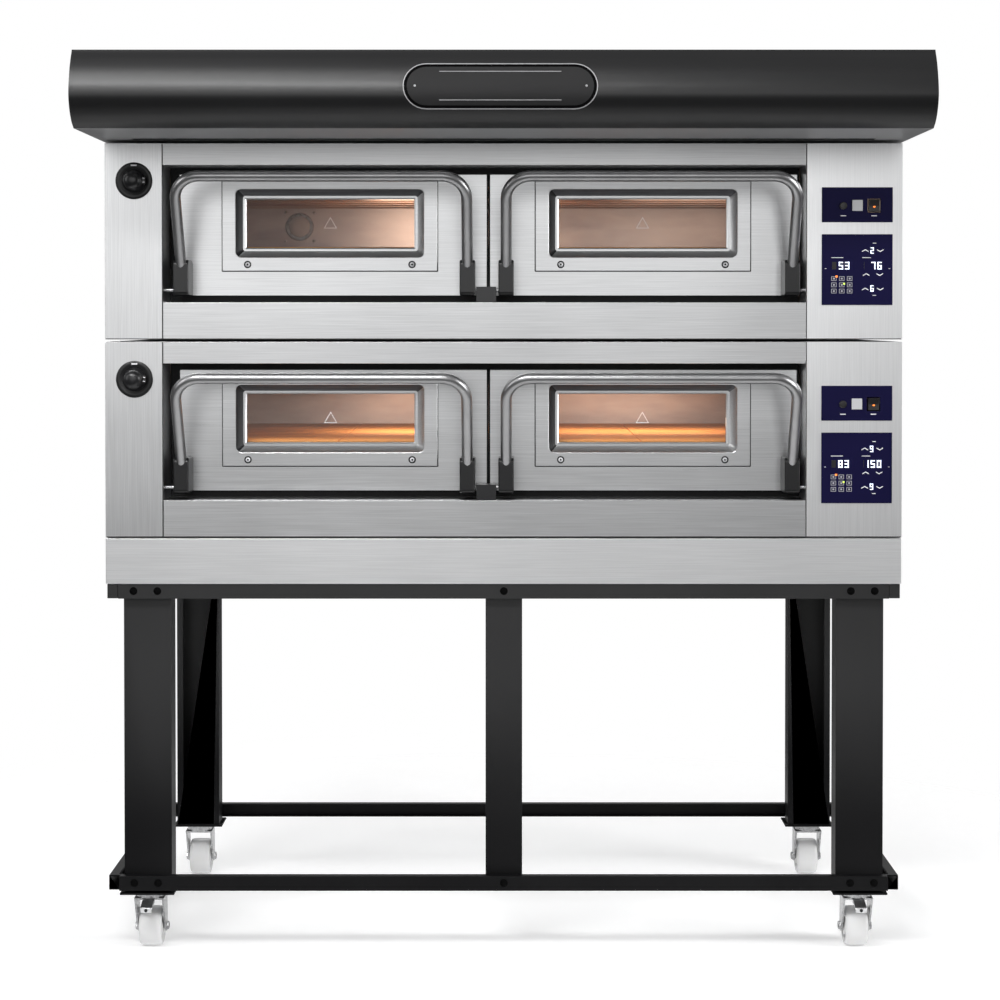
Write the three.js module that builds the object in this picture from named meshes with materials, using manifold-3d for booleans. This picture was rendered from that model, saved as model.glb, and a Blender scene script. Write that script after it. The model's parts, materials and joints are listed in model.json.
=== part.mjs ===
// Double-deck electric pizza oven on a castor stand. Millimetres, +Z up, front towards -Y.
import * as THREE from 'three';
import { mergeVertices } from 'three/addons/utils/BufferGeometryUtils.js';
import Module from 'manifold-3d';

const wasm = await Module();
wasm.setup();

// ---- sizes ----
const FRONT = -360;
const HALF_WIDTH = 800;
const BODY_BACK = FRONT + 1060;
const SHEET = 2;
const GAP = 0.3;
const ROUND_SEGMENTS = 24;

const LEG_BASE = 120;
const LEG_WIDTH = 96;
const LEG_DEPTH = 60;
const LEG_WALL = 4;
const LEG_LIP = 14;
const FOOT_PLATE = 4;
const FRONT_LEG_X = 720;
const REAR_LEG_X = 700;
const LOWER_RAIL = [129, 159];
const TOP_RAIL = [720, 750];
const RAIL_OUTER_X = 798;
const RAIL_FRONT_X = 776;
const RAIL_FRONT = FRONT + 4;
const RAIL_BACK = FRONT + 716;
const RAIL_DEPTH = 20;
const RAIL_WALL = 3;

const WHEEL_RADIUS = 40;
const WHEEL_WIDTH = 46;
const AXLE_RADIUS = 6;
const CASTOR_TRAIL = 26;

const DECK_BASES = { lower: 843, upper: 1241 };
const DECK_HEIGHT = 394.4;
const OPENING_LEFT = -684;
const OPENING_RIGHT = 607;
const SILL_TOP = 75.5;
const LINTEL_BOTTOM = 350.5;
const FASCIA_DEPTH = 106;
const CHAMBER_LEFT = -651;
const CHAMBER_RIGHT = 593;
const CHAMBER_FRONT = FRONT + 108;
const CHAMBER_BACK = FRONT + 892;
const CHAMBER_FLOOR = 166;
const CHAMBER_CEILING = 314;
const STONE_TOP = 190;

const DOORS = { left: [-660, -34.5], right: [-27.5, 598] };
const WINDOW_CENTRES = { left: -354, right: 284 };
const HANDLE_CENTRES = { left: -361, right: 293 };
const DOOR_BOTTOM = 90;
const DOOR_TOP = 336;
const DOOR_FRONT = FRONT + 75;
const DOOR_BACK = FRONT + 105;
const PIVOT_Y = FRONT + 25;
const PIVOT_Z = 100;
const PIN_RADIUS = 4;
const PIN_HOLE_RADIUS = 4.4;
const HANDLE_SPAN = 576;
const HANDLE_RADIUS = 11;
const HANDLE_BEND = 50;

const KNOB_X = -741;
const KNOB_Z = 319;
const PANEL_X = [638, 780];

const HOOD_HALF_WIDTH = 808;
const HOOD_BOTTOM = 1641;
const HOOD_TOP = 1787;

// ---- materials ----
function paint(name, color, metalness, roughness) {
  return new THREE.MeshStandardMaterial({ name, color, metalness, roughness });
}

// ---- solids ----
function solidOf(geometry) {
  const bare = geometry.index ? geometry.toNonIndexed() : geometry.clone();
  bare.deleteAttribute('normal');
  bare.deleteAttribute('uv');
  const merged = mergeVertices(bare, 0.0001);
  const wasmMesh = new wasm.Mesh({
    numProp: 3,
    vertProperties: new Float32Array(merged.attributes.position.array),
    triVerts: new Uint32Array(merged.index.array),
  });
  return new wasm.Manifold(wasmMesh);
}

function box(x0, x1, y0, y1, z0, z1) {
  const geometry = new THREE.BoxGeometry(x1 - x0, y1 - y0, z1 - z0);
  geometry.translate((x0 + x1) / 2, (y0 + y1) / 2, (z0 + z1) / 2);
  return solidOf(geometry);
}

// A rod along one axis, from one end to the other.
function rod(axis, radius, from, to, across, along, segments = ROUND_SEGMENTS) {
  const geometry = new THREE.CylinderGeometry(radius, radius, to - from, segments);
  if (axis === 'x') {
    geometry.rotateZ(Math.PI / 2);
    geometry.translate((from + to) / 2, across, along);
  } else if (axis === 'y') {
    geometry.translate(across, (from + to) / 2, along);
  } else {
    geometry.rotateX(Math.PI / 2);
    geometry.translate(across, along, (from + to) / 2);
  }
  return solidOf(geometry);
}

// A side profile of [y, z] points drawn out along X.
function drawnAlongX(points, x0, x1) {
  const shape = new THREE.Shape(points.map(([y, z]) => new THREE.Vector2(y, z)));
  const geometry = new THREE.ExtrudeGeometry(shape, { depth: x1 - x0, bevelEnabled: false });
  const place = new THREE.Matrix4().makeBasis(
    new THREE.Vector3(0, 1, 0),
    new THREE.Vector3(0, 0, 1),
    new THREE.Vector3(1, 0, 0),
  );
  geometry.applyMatrix4(place);
  geometry.translate(x0, 0, 0);
  return solidOf(geometry);
}

// A four-sided funnel along Y: one rectangle at y0, another at y1.
function funnel(centreX, centreZ, front, y0, back, y1) {
  const geometry = new THREE.BoxGeometry(1, 1, 1);
  const position = geometry.attributes.position;
  for (let i = 0; i < position.count; i += 1) {
    const size = position.getY(i) < 0 ? front : back;
    const y = position.getY(i) < 0 ? y0 : y1;
    const x = centreX + position.getX(i) * size[0];
    const z = centreZ + position.getZ(i) * size[1];
    position.setXYZ(i, x, y, z);
  }
  return solidOf(geometry);
}

function cut(whole, ...tools) {
  return tools.reduce((rest, tool) => rest.subtract(tool), whole);
}

function join(first, ...others) {
  return others.reduce((sum, other) => sum.add(other), first);
}

const oven = new THREE.Group();
oven.name = 'deck_oven';

function put(group, name, solid, material) {
  const data = solid.getMesh();
  const geometry = new THREE.BufferGeometry();
  const corners = [];
  for (let i = 0; i < data.vertProperties.length; i += data.numProp) {
    corners.push(data.vertProperties[i], data.vertProperties[i + 1], data.vertProperties[i + 2]);
  }
  geometry.setAttribute('position', new THREE.Float32BufferAttribute(corners, 3));
  geometry.setIndex(Array.from(data.triVerts));
  geometry.computeVertexNormals();
  const mesh = new THREE.Mesh(geometry, material);
  mesh.name = name;
  group.add(mesh);
}

function newGroup(name) {
  const group = new THREE.Group();
  group.name = name;
  oven.add(group);
  return group;
}

const black = () => paint('powder_black', 0x1c1d1f, 0.3, 0.6);
const stainless = () => paint('brushed_stainless', 0xc9cbcd, 0.9, 0.35);
const darkSteel = () => paint('dark_steel', 0x5a5a5c, 0.8, 0.5);
const plastic = () => paint('black_plastic', 0x141416, 0, 0.45);
const zinc = () => paint('zinc_plate', 0xb9bcc0, 0.9, 0.35);
const nylon = () => paint('white_nylon', 0xe8e5dc, 0, 0.5);

// ---- stand ----
const stand = newGroup('stand');

// A channel post: web on the closed side, lips on the open side, a plate at the foot.
function post(centreX, width, webY, openY, foot) {
  const x0 = centreX - width / 2;
  const x1 = centreX + width / 2;
  const y0 = Math.min(webY, openY);
  const y1 = Math.max(webY, openY);
  const inward = Math.sign(openY - webY);
  const top = TOP_RAIL[1] - GAP;
  const hollow0 = y0 + LEG_WALL;
  const hollow1 = y1 - LEG_WALL;
  const slot0 = inward > 0 ? hollow1 - 1 : y0 - 1;
  const slot1 = inward > 0 ? y1 + 1 : hollow0 + 1;
  return cut(
    box(x0, x1, y0, y1, foot, top),
    box(x0 + LEG_WALL, x1 - LEG_WALL, hollow0, hollow1, foot + 6, top + 1),
    box(x0 + LEG_LIP, x1 - LEG_LIP, slot0, slot1, foot + 6, top + 1),
  );
}

const frontWeb = RAIL_FRONT + RAIL_DEPTH + GAP;
const rearWeb = RAIL_BACK - RAIL_DEPTH - GAP;
for (const [side, sign] of [['left', -1], ['right', 1]]) {
  const frontX = sign * FRONT_LEG_X;
  const rearX = sign * REAR_LEG_X;
  const frontLeg = join(
    post(frontX, LEG_WIDTH, frontWeb, frontWeb + LEG_DEPTH, LEG_BASE),
    box(frontX - 55, frontX + 55, RAIL_FRONT + 2, frontWeb + 66, LEG_BASE, LEG_BASE + FOOT_PLATE),
  );
  put(stand, `leg_front_${side}`, frontLeg, black());
  const rearLeg = join(
    post(rearX, LEG_WIDTH, rearWeb, rearWeb - LEG_DEPTH, LEG_BASE),
    box(rearX - 55, rearX + 55, rearWeb - 66, RAIL_BACK - 2, LEG_BASE, LEG_BASE + FOOT_PLATE),
  );
  put(stand, `leg_rear_${side}`, rearLeg, black());
}
const centrePost = post(0.5, 74, frontWeb, frontWeb + LEG_DEPTH, LOWER_RAIL[0] + 1);
put(stand, 'leg_centre', centrePost, black());

// A ring of channel rail, open towards the inside of the stand, with the front length standing proud.
function rail(range) {
  const [z0, z1] = range;
  const x = RAIL_OUTER_X;
  return cut(
    box(-x, x, RAIL_FRONT, RAIL_BACK, z0, z1),
    box(-x + RAIL_DEPTH, x - RAIL_DEPTH, RAIL_FRONT + RAIL_DEPTH, RAIL_BACK - RAIL_DEPTH, z0 - 1, z1 + 1),
    box(
      -x + RAIL_WALL, x - RAIL_WALL, RAIL_FRONT + RAIL_WALL, RAIL_BACK - RAIL_WALL,
      z0 + RAIL_WALL, z1 - RAIL_WALL,
    ),
    box(-x - 1, -RAIL_FRONT_X, RAIL_FRONT - 1, RAIL_FRONT + 11, z0 - 1, z1 + 1),
    box(RAIL_FRONT_X, x + 1, RAIL_FRONT - 1, RAIL_FRONT + 11, z0 - 1, z1 + 1),
  );
}
put(stand, 'stand_top_frame', rail(TOP_RAIL), black());
put(stand, 'stand_lower_frame', rail(LOWER_RAIL), black());

// ---- castors ----
const castors = newGroup('castors');

function forkSolid(x, y, axleY, braked) {
  const cheek = WHEEL_WIDTH / 2 + 3;
  const top = LEG_BASE - GAP;
  const towards = Math.sign(axleY - y);
  const cheekShape = [
    [y - towards * 24, top - 12],
    [y + towards * 30, top - 12],
    [axleY + towards * 10, WHEEL_RADIUS - 6],
    [axleY + towards * 2, WHEEL_RADIUS - 12],
    [axleY - towards * 10, WHEEL_RADIUS - 6],
  ];
  const plate = drawnAlongX(cheekShape, x - cheek - 4, x + cheek + 4);
  const between = box(x - cheek, x + cheek, y - 80, y + 80, 0, top - 16);
  const head = rod('z', 28, top - 12.5, top, x, y);
  const axle = rod('x', AXLE_RADIUS, x - cheek - 8, x + cheek + 8, axleY, WHEEL_RADIUS);
  let fork = join(cut(plate, between), head, axle);
  if (braked) {
    fork = cut(fork, box(x - 13, x + 13, y - 40, y - 17, top - 30, top - 11));
  }
  return fork;
}

function wheelSolid(x, axleY) {
  const half = WHEEL_WIDTH / 2;
  const bore = AXLE_RADIUS + 0.5;
  const profile = [
    [bore, -half], [18, -half], [18, -half + 4], [30, -half + 4], [31, -half], [36, -half],
    [WHEEL_RADIUS, -half + 4], [WHEEL_RADIUS, half - 4], [36, half], [31, half],
    [30, half - 4], [18, half - 4], [18, half], [bore, half], [bore, -half],
  ];
  const points = profile.map(([r, along]) => new THREE.Vector2(r, along));
  const geometry = new THREE.LatheGeometry(points, 32);
  geometry.rotateZ(Math.PI / 2);
  geometry.translate(x, axleY, WHEEL_RADIUS);
  return solidOf(geometry);
}

function pedalSolid(x, y) {
  const top = LEG_BASE - GAP - 14;
  const shape = [
    [y - 62, top - 12], [y - 60, top - 8], [y - 34, top], [y - 20, top], [y - 20, top - 8],
    [y - 36, top - 8],
  ];
  return drawnAlongX(shape, x - 12, x + 12);
}

for (const [end, y, legX] of [
  ['front', frontWeb + 30, FRONT_LEG_X],
  ['rear', rearWeb - 30, REAR_LEG_X],
]) {
  for (const [side, sign] of [['left', -1], ['right', 1]]) {
    const x = sign * legX;
    const axleY = y + CASTOR_TRAIL;
    const braked = end === 'front';
    put(castors, `castor_fork_${end}_${side}`, forkSolid(x, y, axleY, braked), zinc());
    put(castors, `castor_wheel_${end}_${side}`, wheelSolid(x, axleY), nylon());
    if (braked) {
      put(castors, `castor_brake_${side}`, pedalSolid(x, y), plastic());
    }
  }
}

// ---- base panel under the decks ----
const body = newGroup('oven_body');
const basePanel = cut(
  box(-HALF_WIDTH, HALF_WIDTH, FRONT, BODY_BACK, TOP_RAIL[1] + GAP, DECK_BASES.lower - 1),
  box(
    -HALF_WIDTH + SHEET, HALF_WIDTH - SHEET, FRONT + SHEET, BODY_BACK - SHEET,
    TOP_RAIL[1] - 1, DECK_BASES.lower - 1 - SHEET,
  ),
);
put(body, 'base_panel', basePanel, stainless());

// ---- one deck ----
function hollowFront(x0, x1, z0, z1) {
  return cut(
    box(x0, x1, FRONT, FRONT + FASCIA_DEPTH, z0, z1),
    box(x0 + SHEET, x1 - SHEET, FRONT + SHEET, FRONT + FASCIA_DEPTH + 1, z0 + SHEET, z1 - SHEET),
  );
}

function handlePath(centreX, base) {
  const barY = FRONT - 92;
  const barZ = base + 323;
  const footY = FRONT + 14;
  const footZ = base + 150;
  const slope = new THREE.Vector3(0, barY - footY, barZ - footZ);
  const length = slope.length();
  slope.normalize();
  const at = (x, along) => new THREE.Vector3(x, footY, footZ).addScaledVector(slope, along);
  const path = new THREE.CurvePath();
  const left = centreX - HANDLE_SPAN / 2;
  const right = centreX + HANDLE_SPAN / 2;
  const bendStart = length - HANDLE_BEND;
  const route = [at(left, 0), at(left, bendStart)];
  const steps = 6;
  for (let i = 1; i <= steps; i += 1) {
    const angle = (i / steps) * (Math.PI / 2);
    const x = left + HANDLE_BEND * (1 - Math.cos(angle));
    route.push(at(x, bendStart + HANDLE_BEND * Math.sin(angle)));
  }
  for (let i = 0; i <= steps; i += 1) {
    const angle = (i / steps) * (Math.PI / 2);
    const x = right - HANDLE_BEND * (1 - Math.sin(angle));
    route.push(at(x, bendStart + HANDLE_BEND * Math.cos(angle)));
  }
  route.push(at(right, 0));
  for (let i = 1; i < route.length; i += 1) {
    path.add(new THREE.LineCurve3(route[i - 1], route[i]));
  }
  return path;
}

// A round tube carried along a list of joined straight lines in one tilted plane.
function sweptTube(path, radius) {
  const sides = 16;
  const points = path.curves.map((curve) => curve.v1);
  points.push(path.curves[path.curves.length - 1].v2);
  const across = new THREE.Vector3().subVectors(points[points.length - 1], points[0]).normalize();
  const upward = new THREE.Vector3().subVectors(points[1], points[0]).normalize();
  const normal = new THREE.Vector3().crossVectors(across, upward).normalize();
  const positions = [];
  const index = [];
  points.forEach((point, i) => {
    const before = points[Math.max(i - 1, 0)];
    const after = points[Math.min(i + 1, points.length - 1)];
    const tangent = new THREE.Vector3().subVectors(after, before).normalize();
    const side = new THREE.Vector3().crossVectors(normal, tangent).normalize();
    for (let k = 0; k < sides; k += 1) {
      const angle = (k / sides) * Math.PI * 2;
      const corner = point.clone()
        .addScaledVector(side, Math.cos(angle) * radius)
        .addScaledVector(normal, Math.sin(angle) * radius);
      positions.push(corner.x, corner.y, corner.z);
    }
  });
  for (let i = 0; i < points.length - 1; i += 1) {
    for (let k = 0; k < sides; k += 1) {
      const next = (k + 1) % sides;
      const a = i * sides + k;
      const b = i * sides + next;
      const c = a + sides;
      const d = b + sides;
      index.push(a, b, c, b, d, c);
    }
  }
  const last = (points.length - 1) * sides;
  for (let k = 1; k < sides - 1; k += 1) {
    index.push(0, k + 1, k);
    index.push(last, last + k, last + k + 1);
  }
  const geometry = new THREE.BufferGeometry();
  geometry.setAttribute('position', new THREE.Float32BufferAttribute(positions, 3));
  geometry.setIndex(index);
  return solidOf(geometry);
}

function bracketSolid(centreX, base) {
  const front = FRONT + 4;
  const back = DOOR_FRONT - GAP;
  const shape = [
    [front, base + 94], [front + 2, base + 91], [front + 7, base + 88.5], [back, base + 88.5],
    [back, base + 154], [back - 7, base + 161], [front + 7, base + 161], [front, base + 154],
  ];
  return drawnAlongX(shape, centreX - 15.5, centreX + 15.5);
}

for (const [deckName, base] of Object.entries(DECK_BASES)) {
  const deck = newGroup(`${deckName}_deck`);
  const top = base + DECK_HEIGHT;
  const bottom = base + 1;
  const front = FRONT + FASCIA_DEPTH + GAP;
  const casing = cut(
    box(-HALF_WIDTH, HALF_WIDTH, front, BODY_BACK, bottom, top),
    box(-HALF_WIDTH + SHEET, HALF_WIDTH - SHEET, front - 1, BODY_BACK - SHEET, bottom + SHEET, top - SHEET),
  );
  put(deck, `${deckName}_casing`, casing, stainless());

  const flangeX0 = OPENING_LEFT + GAP;
  const flangeX1 = OPENING_RIGHT - GAP;
  const chamber = cut(
    join(
      box(flangeX0, flangeX1, CHAMBER_FRONT, CHAMBER_FRONT + SHEET, base + 60, base + 366),
      box(
        CHAMBER_LEFT - SHEET, CHAMBER_RIGHT + SHEET, CHAMBER_FRONT, CHAMBER_BACK + SHEET,
        base + CHAMBER_FLOOR - SHEET, base + CHAMBER_CEILING + SHEET,
      ),
    ),
    box(
      CHAMBER_LEFT, CHAMBER_RIGHT, CHAMBER_FRONT - 1, CHAMBER_BACK,
      base + CHAMBER_FLOOR, base + CHAMBER_CEILING,
    ),
  );
  put(deck, `${deckName}_chamber`, chamber, darkSteel());

  let stone = box(
    CHAMBER_LEFT + 1, CHAMBER_RIGHT - 1, CHAMBER_FRONT + 4, CHAMBER_BACK - 1,
    base + CHAMBER_FLOOR + GAP, base + STONE_TOP,
  );
  for (const part of [0.25, 0.5, 0.75]) {
    const x = CHAMBER_LEFT + (CHAMBER_RIGHT - CHAMBER_LEFT) * part;
    stone = cut(stone, box(x - 1, x + 1, CHAMBER_FRONT, CHAMBER_BACK, base + STONE_TOP - 3, base + STONE_TOP + 1));
  }
  put(deck, `${deckName}_stone`, stone, paint('baking_stone', 0xb98a5c, 0, 0.9));

  const leftPinHole = rod('x', PIN_HOLE_RADIUS, OPENING_LEFT - 4, OPENING_LEFT + 4, PIVOT_Y, base + PIVOT_Z);
  const rightPinHole = rod('x', PIN_HOLE_RADIUS, OPENING_RIGHT - 4, OPENING_RIGHT + 4, PIVOT_Y, base + PIVOT_Z);
  const leftPillar = cut(hollowFront(-HALF_WIDTH, OPENING_LEFT, bottom, top), leftPinHole);
  put(deck, `${deckName}_left_pillar`, leftPillar, stainless());
  const switchX = 742.5;
  const switchZ = base + 269;
  const controlPillar = cut(
    hollowFront(OPENING_RIGHT, HALF_WIDTH, bottom, top),
    rightPinHole,
    box(switchX - 13, switchX + 13, FRONT - 1, FRONT + SHEET + 1, switchZ - 14, switchZ + 14),
  );
  put(deck, `${deckName}_control_pillar`, controlPillar, stainless());
  const lintel = hollowFront(OPENING_LEFT + GAP, OPENING_RIGHT - GAP, base + LINTEL_BOTTOM, top);
  put(deck, `${deckName}_lintel`, lintel, stainless());
  const sill = hollowFront(OPENING_LEFT + GAP, OPENING_RIGHT - GAP, bottom, base + SILL_TOP);
  put(deck, `${deckName}_sill`, sill, stainless());

  const pinZ = base + PIVOT_Z;
  const block = cut(
    box(-55, -15, FRONT + 6, FRONT + 46, base + SILL_TOP + GAP, base + 107),
    rod('x', PIN_HOLE_RADIUS, -56, -43, PIVOT_Y, pinZ),
    rod('x', PIN_HOLE_RADIUS, -27, -14, PIVOT_Y, pinZ),
  );
  put(deck, `${deckName}_pivot_block`, block, plastic());

  for (const side of ['left', 'right']) {
    const [x0, x1] = DOORS[side];
    const windowX = WINDOW_CENTRES[side];
    const windowZ = base + 231;
    const z0 = base + DOOR_BOTTOM;
    const z1 = base + DOOR_TOP;
    const door = cut(
      box(x0, x1, DOOR_FRONT, DOOR_BACK, z0, z1),
      box(x0 + SHEET, x1 - SHEET, DOOR_FRONT + SHEET, DOOR_BACK - SHEET, z0 + SHEET, z1 - SHEET),
      box(windowX - 200, windowX + 200, DOOR_FRONT - 1, DOOR_BACK - 1.5, windowZ - 80, windowZ + 80),
      box(windowX - 172, windowX + 172, DOOR_FRONT - 1, DOOR_BACK + 1, windowZ + 6 - 50, windowZ + 6 + 50),
    );
    put(deck, `${deckName}_${side}_door_panel`, door, stainless());

    const paneZ = windowZ + 6;
    const faceY = DOOR_FRONT - GAP - 3;
    const windowFrame = cut(
      join(
        box(windowX - 219, windowX + 219, faceY, DOOR_FRONT - GAP, base + 140, base + 322),
        funnel(windowX, paneZ, [388, 143], faceY + 1, [352, 108], DOOR_FRONT + 13),
      ),
      funnel(windowX, paneZ, [384.5, 139.5], faceY - 0.2, [342, 99], DOOR_FRONT + 13.5),
    );
    put(deck, `${deckName}_${side}_window_frame`, windowFrame, stainless());

    const glass = box(windowX - 178, windowX + 178, DOOR_FRONT + 13.6, DOOR_FRONT + 18, paneZ - 56, paneZ + 56);
    const glassPaint = paint('oven_glass', 0xd8c8b0, 0, 0.05);
    glassPaint.transparent = true;
    glassPaint.opacity = 0.35;
    put(deck, `${deckName}_${side}_door_glass`, glass, glassPaint);

    const centre = HANDLE_CENTRES[side];
    const footLeft = centre - HANDLE_SPAN / 2;
    const footRight = centre + HANDLE_SPAN / 2;
    const pinLeft = side === 'left' ? OPENING_LEFT - 3.5 : -26;
    const pinRight = side === 'left' ? -44 : OPENING_RIGHT + 3.5;
    const handle = join(
      sweptTube(handlePath(centre, base), HANDLE_RADIUS),
      bracketSolid(footLeft, base),
      bracketSolid(footRight, base),
      rod('x', PIN_RADIUS, pinLeft, footLeft, PIVOT_Y, pinZ),
      rod('x', PIN_RADIUS, footRight, pinRight, PIVOT_Y, pinZ),
    );
    put(deck, `${deckName}_${side}_handle`, handle, stainless());
  }

  const knobZ = base + KNOB_Z;
  const knob = cut(
    join(
      rod('y', 25, FRONT - 9, FRONT - GAP, KNOB_X, knobZ, 32),
      rod('y', 21, FRONT - 34, FRONT - 8, KNOB_X, knobZ, 32),
    ),
    box(KNOB_X - 1, KNOB_X + 1, FRONT - 35, FRONT - 32.5, knobZ + 6, knobZ + 22),
  );
  put(deck, `${deckName}_knob`, knob, plastic());

  const switchPanel = cut(
    box(PANEL_X[0], PANEL_X[1], FRONT - 3, FRONT - GAP, base + 236, base + 306),
    box(switchX - 13, switchX + 13, FRONT - 4, FRONT, switchZ - 14, switchZ + 14),
  );
  put(deck, `${deckName}_switch_panel`, switchPanel, plastic());
  const rocker = drawnAlongX(
    [
      [FRONT - 0.8, switchZ - 12], [FRONT - 0.8, switchZ + 12], [FRONT - 6, switchZ + 12],
      [FRONT - 4.2, switchZ], [FRONT - 4.8, switchZ - 12],
    ],
    switchX - 11,
    switchX + 11,
  );
  put(deck, `${deckName}_rocker_switch`, rocker, plastic());
  const display = box(PANEL_X[0], PANEL_X[1], FRONT - 3, FRONT - GAP, base + 70, base + 212);
  put(deck, `${deckName}_display_panel`, display, plastic());
}

// ---- hood ----
const hood = newGroup('hood');

// The bulging front of the hood, bottom to top, as [y, z].
const frontCurve = [
  [-290, 1641], [-308, 1650], [-323, 1663], [-334, 1679], [-340, 1697],
  [-339, 1715], [-334, 1733], [-327, 1751], [-317, 1769], [-305, 1787],
].map(([y, z]) => [FRONT + y, z]);

function offsetCurve(distance) {
  return frontCurve.map(([y, z]) => [y + distance, Math.min(z, HOOD_TOP)]);
}

const skinOuter = frontCurve;
const skinInner = offsetCurve(3).reverse();
const hoodFront = drawnAlongX([...skinOuter, ...skinInner], -HOOD_HALF_WIDTH, HOOD_HALF_WIDTH);
put(hood, 'hood_front', hoodFront, black());

const shellOuter = offsetCurve(3 + GAP);
const canopyOuter = [...shellOuter, [BODY_BACK, HOOD_TOP], [BODY_BACK, HOOD_BOTTOM]];
const innerFront = offsetCurve(6).filter(([, z]) => z > HOOD_BOTTOM + 2 && z < HOOD_TOP - 2);
const canopyInner = [
  [FRONT - 282, HOOD_BOTTOM + 2],
  ...innerFront,
  [FRONT - 298, HOOD_TOP - 2],
  [BODY_BACK - SHEET, HOOD_TOP - 2],
  [BODY_BACK - SHEET, HOOD_BOTTOM + 2],
];
const flueX = 0;
const flueY = FRONT + 900;
const canopy = cut(
  join(
    cut(
      drawnAlongX(canopyOuter, -HOOD_HALF_WIDTH, HOOD_HALF_WIDTH),
      drawnAlongX(canopyInner, -HOOD_HALF_WIDTH + 3, HOOD_HALF_WIDTH - 3),
    ),
    rod('z', 78, HOOD_TOP - 1, HOOD_TOP + 60, flueX, flueY, 32),
  ),
  rod('z', 75, HOOD_TOP - 10, HOOD_TOP + 61, flueX, flueY, 32),
  box(-740, 740, FRONT - 46, FRONT - 14, HOOD_BOTTOM - 1, HOOD_BOTTOM + 3),
);
put(hood, 'hood_canopy', canopy, stainless());

export default oven;
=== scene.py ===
# %% [markdown]
# # A double-deck pizza oven on a castor stand
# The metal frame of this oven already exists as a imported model, with every moving part on its own body.
# This lesson loads that frame, gives each part a finish, and adds the small pieces that make it look real.
# Everything is in metres, with Z up, and the front of the oven looks towards -Y.

# %% Load the frame
import bpy
import bmesh
import json
import math
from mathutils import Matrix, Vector


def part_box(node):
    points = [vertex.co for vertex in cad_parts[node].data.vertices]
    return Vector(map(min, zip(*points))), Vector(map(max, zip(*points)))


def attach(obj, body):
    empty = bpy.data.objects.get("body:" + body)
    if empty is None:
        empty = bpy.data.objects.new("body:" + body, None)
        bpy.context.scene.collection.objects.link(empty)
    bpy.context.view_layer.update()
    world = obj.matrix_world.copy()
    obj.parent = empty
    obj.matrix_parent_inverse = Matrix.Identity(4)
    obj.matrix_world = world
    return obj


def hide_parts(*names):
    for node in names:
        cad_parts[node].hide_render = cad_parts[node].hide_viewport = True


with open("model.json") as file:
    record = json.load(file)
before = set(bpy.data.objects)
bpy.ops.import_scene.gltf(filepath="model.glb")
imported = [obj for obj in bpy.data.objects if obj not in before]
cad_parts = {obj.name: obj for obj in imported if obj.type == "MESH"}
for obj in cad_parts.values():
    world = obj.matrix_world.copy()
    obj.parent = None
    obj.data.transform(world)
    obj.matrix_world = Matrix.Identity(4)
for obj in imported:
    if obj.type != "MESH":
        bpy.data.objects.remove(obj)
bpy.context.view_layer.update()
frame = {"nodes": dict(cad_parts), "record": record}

# %% [markdown]
# ## The camera
# A long lens placed a good way back keeps the tall cabinet from bulging.
# Tilting a camera makes upright edges lean together, so most of the downward aim is done with lens shift,
# and only one degree of it with tilt.

# %% Camera
FRONT_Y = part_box("lower_sill")[0].y
CAMERA_BACK = 4.6
CAMERA_HEIGHT = 1.281
camera_data = bpy.data.cameras.new("camera")
camera_data.lens = 82.5
camera_data.sensor_width = 36.0
camera_data.shift_x = -0.0036
camera_data.shift_y = -0.140
camera_data.clip_end = 60.0
camera = bpy.data.objects.new("camera", camera_data)
bpy.context.scene.collection.objects.link(camera)
camera.location = (0.0, FRONT_Y - CAMERA_BACK, CAMERA_HEIGHT)
camera.rotation_euler = (math.radians(89.0), 0.0, 0.0)
bpy.context.scene.camera = camera
print("camera stands", round(-camera.location.y, 2), "m in front of the middle of the oven")

# %% [markdown]
# ## The studio
# Brushed steel only looks like steel when it has something to reflect.
# A sky that is darker at the horizon and paler overhead gives it an even grey,
# while the camera itself sees plain white.
# Five large soft lamps add the slow gradients that tell the eye a sheet is flat.

# %% Studio
def soft_lamp(name, place, target, size, power, colour=(1.0, 1.0, 1.0)):
    data = bpy.data.lights.new(name, "AREA")
    data.shape = "RECTANGLE"
    data.size, data.size_y = size
    data.energy = power
    data.color = colour
    lamp = bpy.data.objects.new(name, data)
    bpy.context.scene.collection.objects.link(lamp)
    lamp.location = place
    aim = Vector(target) - Vector(place)
    lamp.rotation_euler = aim.to_track_quat("-Z", "Y").to_euler()


bpy.context.scene.view_settings.view_transform = "Standard"
world = bpy.data.worlds.new("studio")
bpy.context.scene.world = world
world.use_nodes = True
sky = world.node_tree
direction = sky.nodes.new("ShaderNodeTexCoord")
split = sky.nodes.new("ShaderNodeSeparateXYZ")
sky.links.new(direction.outputs["Generated"], split.inputs["Vector"])
height_ramp = sky.nodes.new("ShaderNodeValToRGB")
height_ramp.color_ramp.elements[0].position = 0.0
height_ramp.color_ramp.elements[0].color = (0.10, 0.10, 0.102, 1.0)
height_ramp.color_ramp.elements[1].position = 0.85
height_ramp.color_ramp.elements[1].color = (0.52, 0.52, 0.525, 1.0)
sky.links.new(split.outputs["Z"], height_ramp.inputs["Fac"])
sky.links.new(height_ramp.outputs["Color"], sky.nodes["Background"].inputs["Color"])
sky.nodes["Background"].inputs["Strength"].default_value = 1.0
seen = sky.nodes.new("ShaderNodeBackground")
seen.inputs["Color"].default_value = (1.0, 1.0, 1.0, 1.0)
seen.inputs["Strength"].default_value = 1.0
ray = sky.nodes.new("ShaderNodeLightPath")
choose = sky.nodes.new("ShaderNodeMixShader")
sky.links.new(ray.outputs["Is Camera Ray"], choose.inputs["Fac"])
sky.links.new(sky.nodes["Background"].outputs["Background"], choose.inputs[1])
sky.links.new(seen.outputs["Background"], choose.inputs[2])
sky.links.new(choose.outputs["Shader"], sky.nodes["World Output"].inputs["Surface"])
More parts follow.
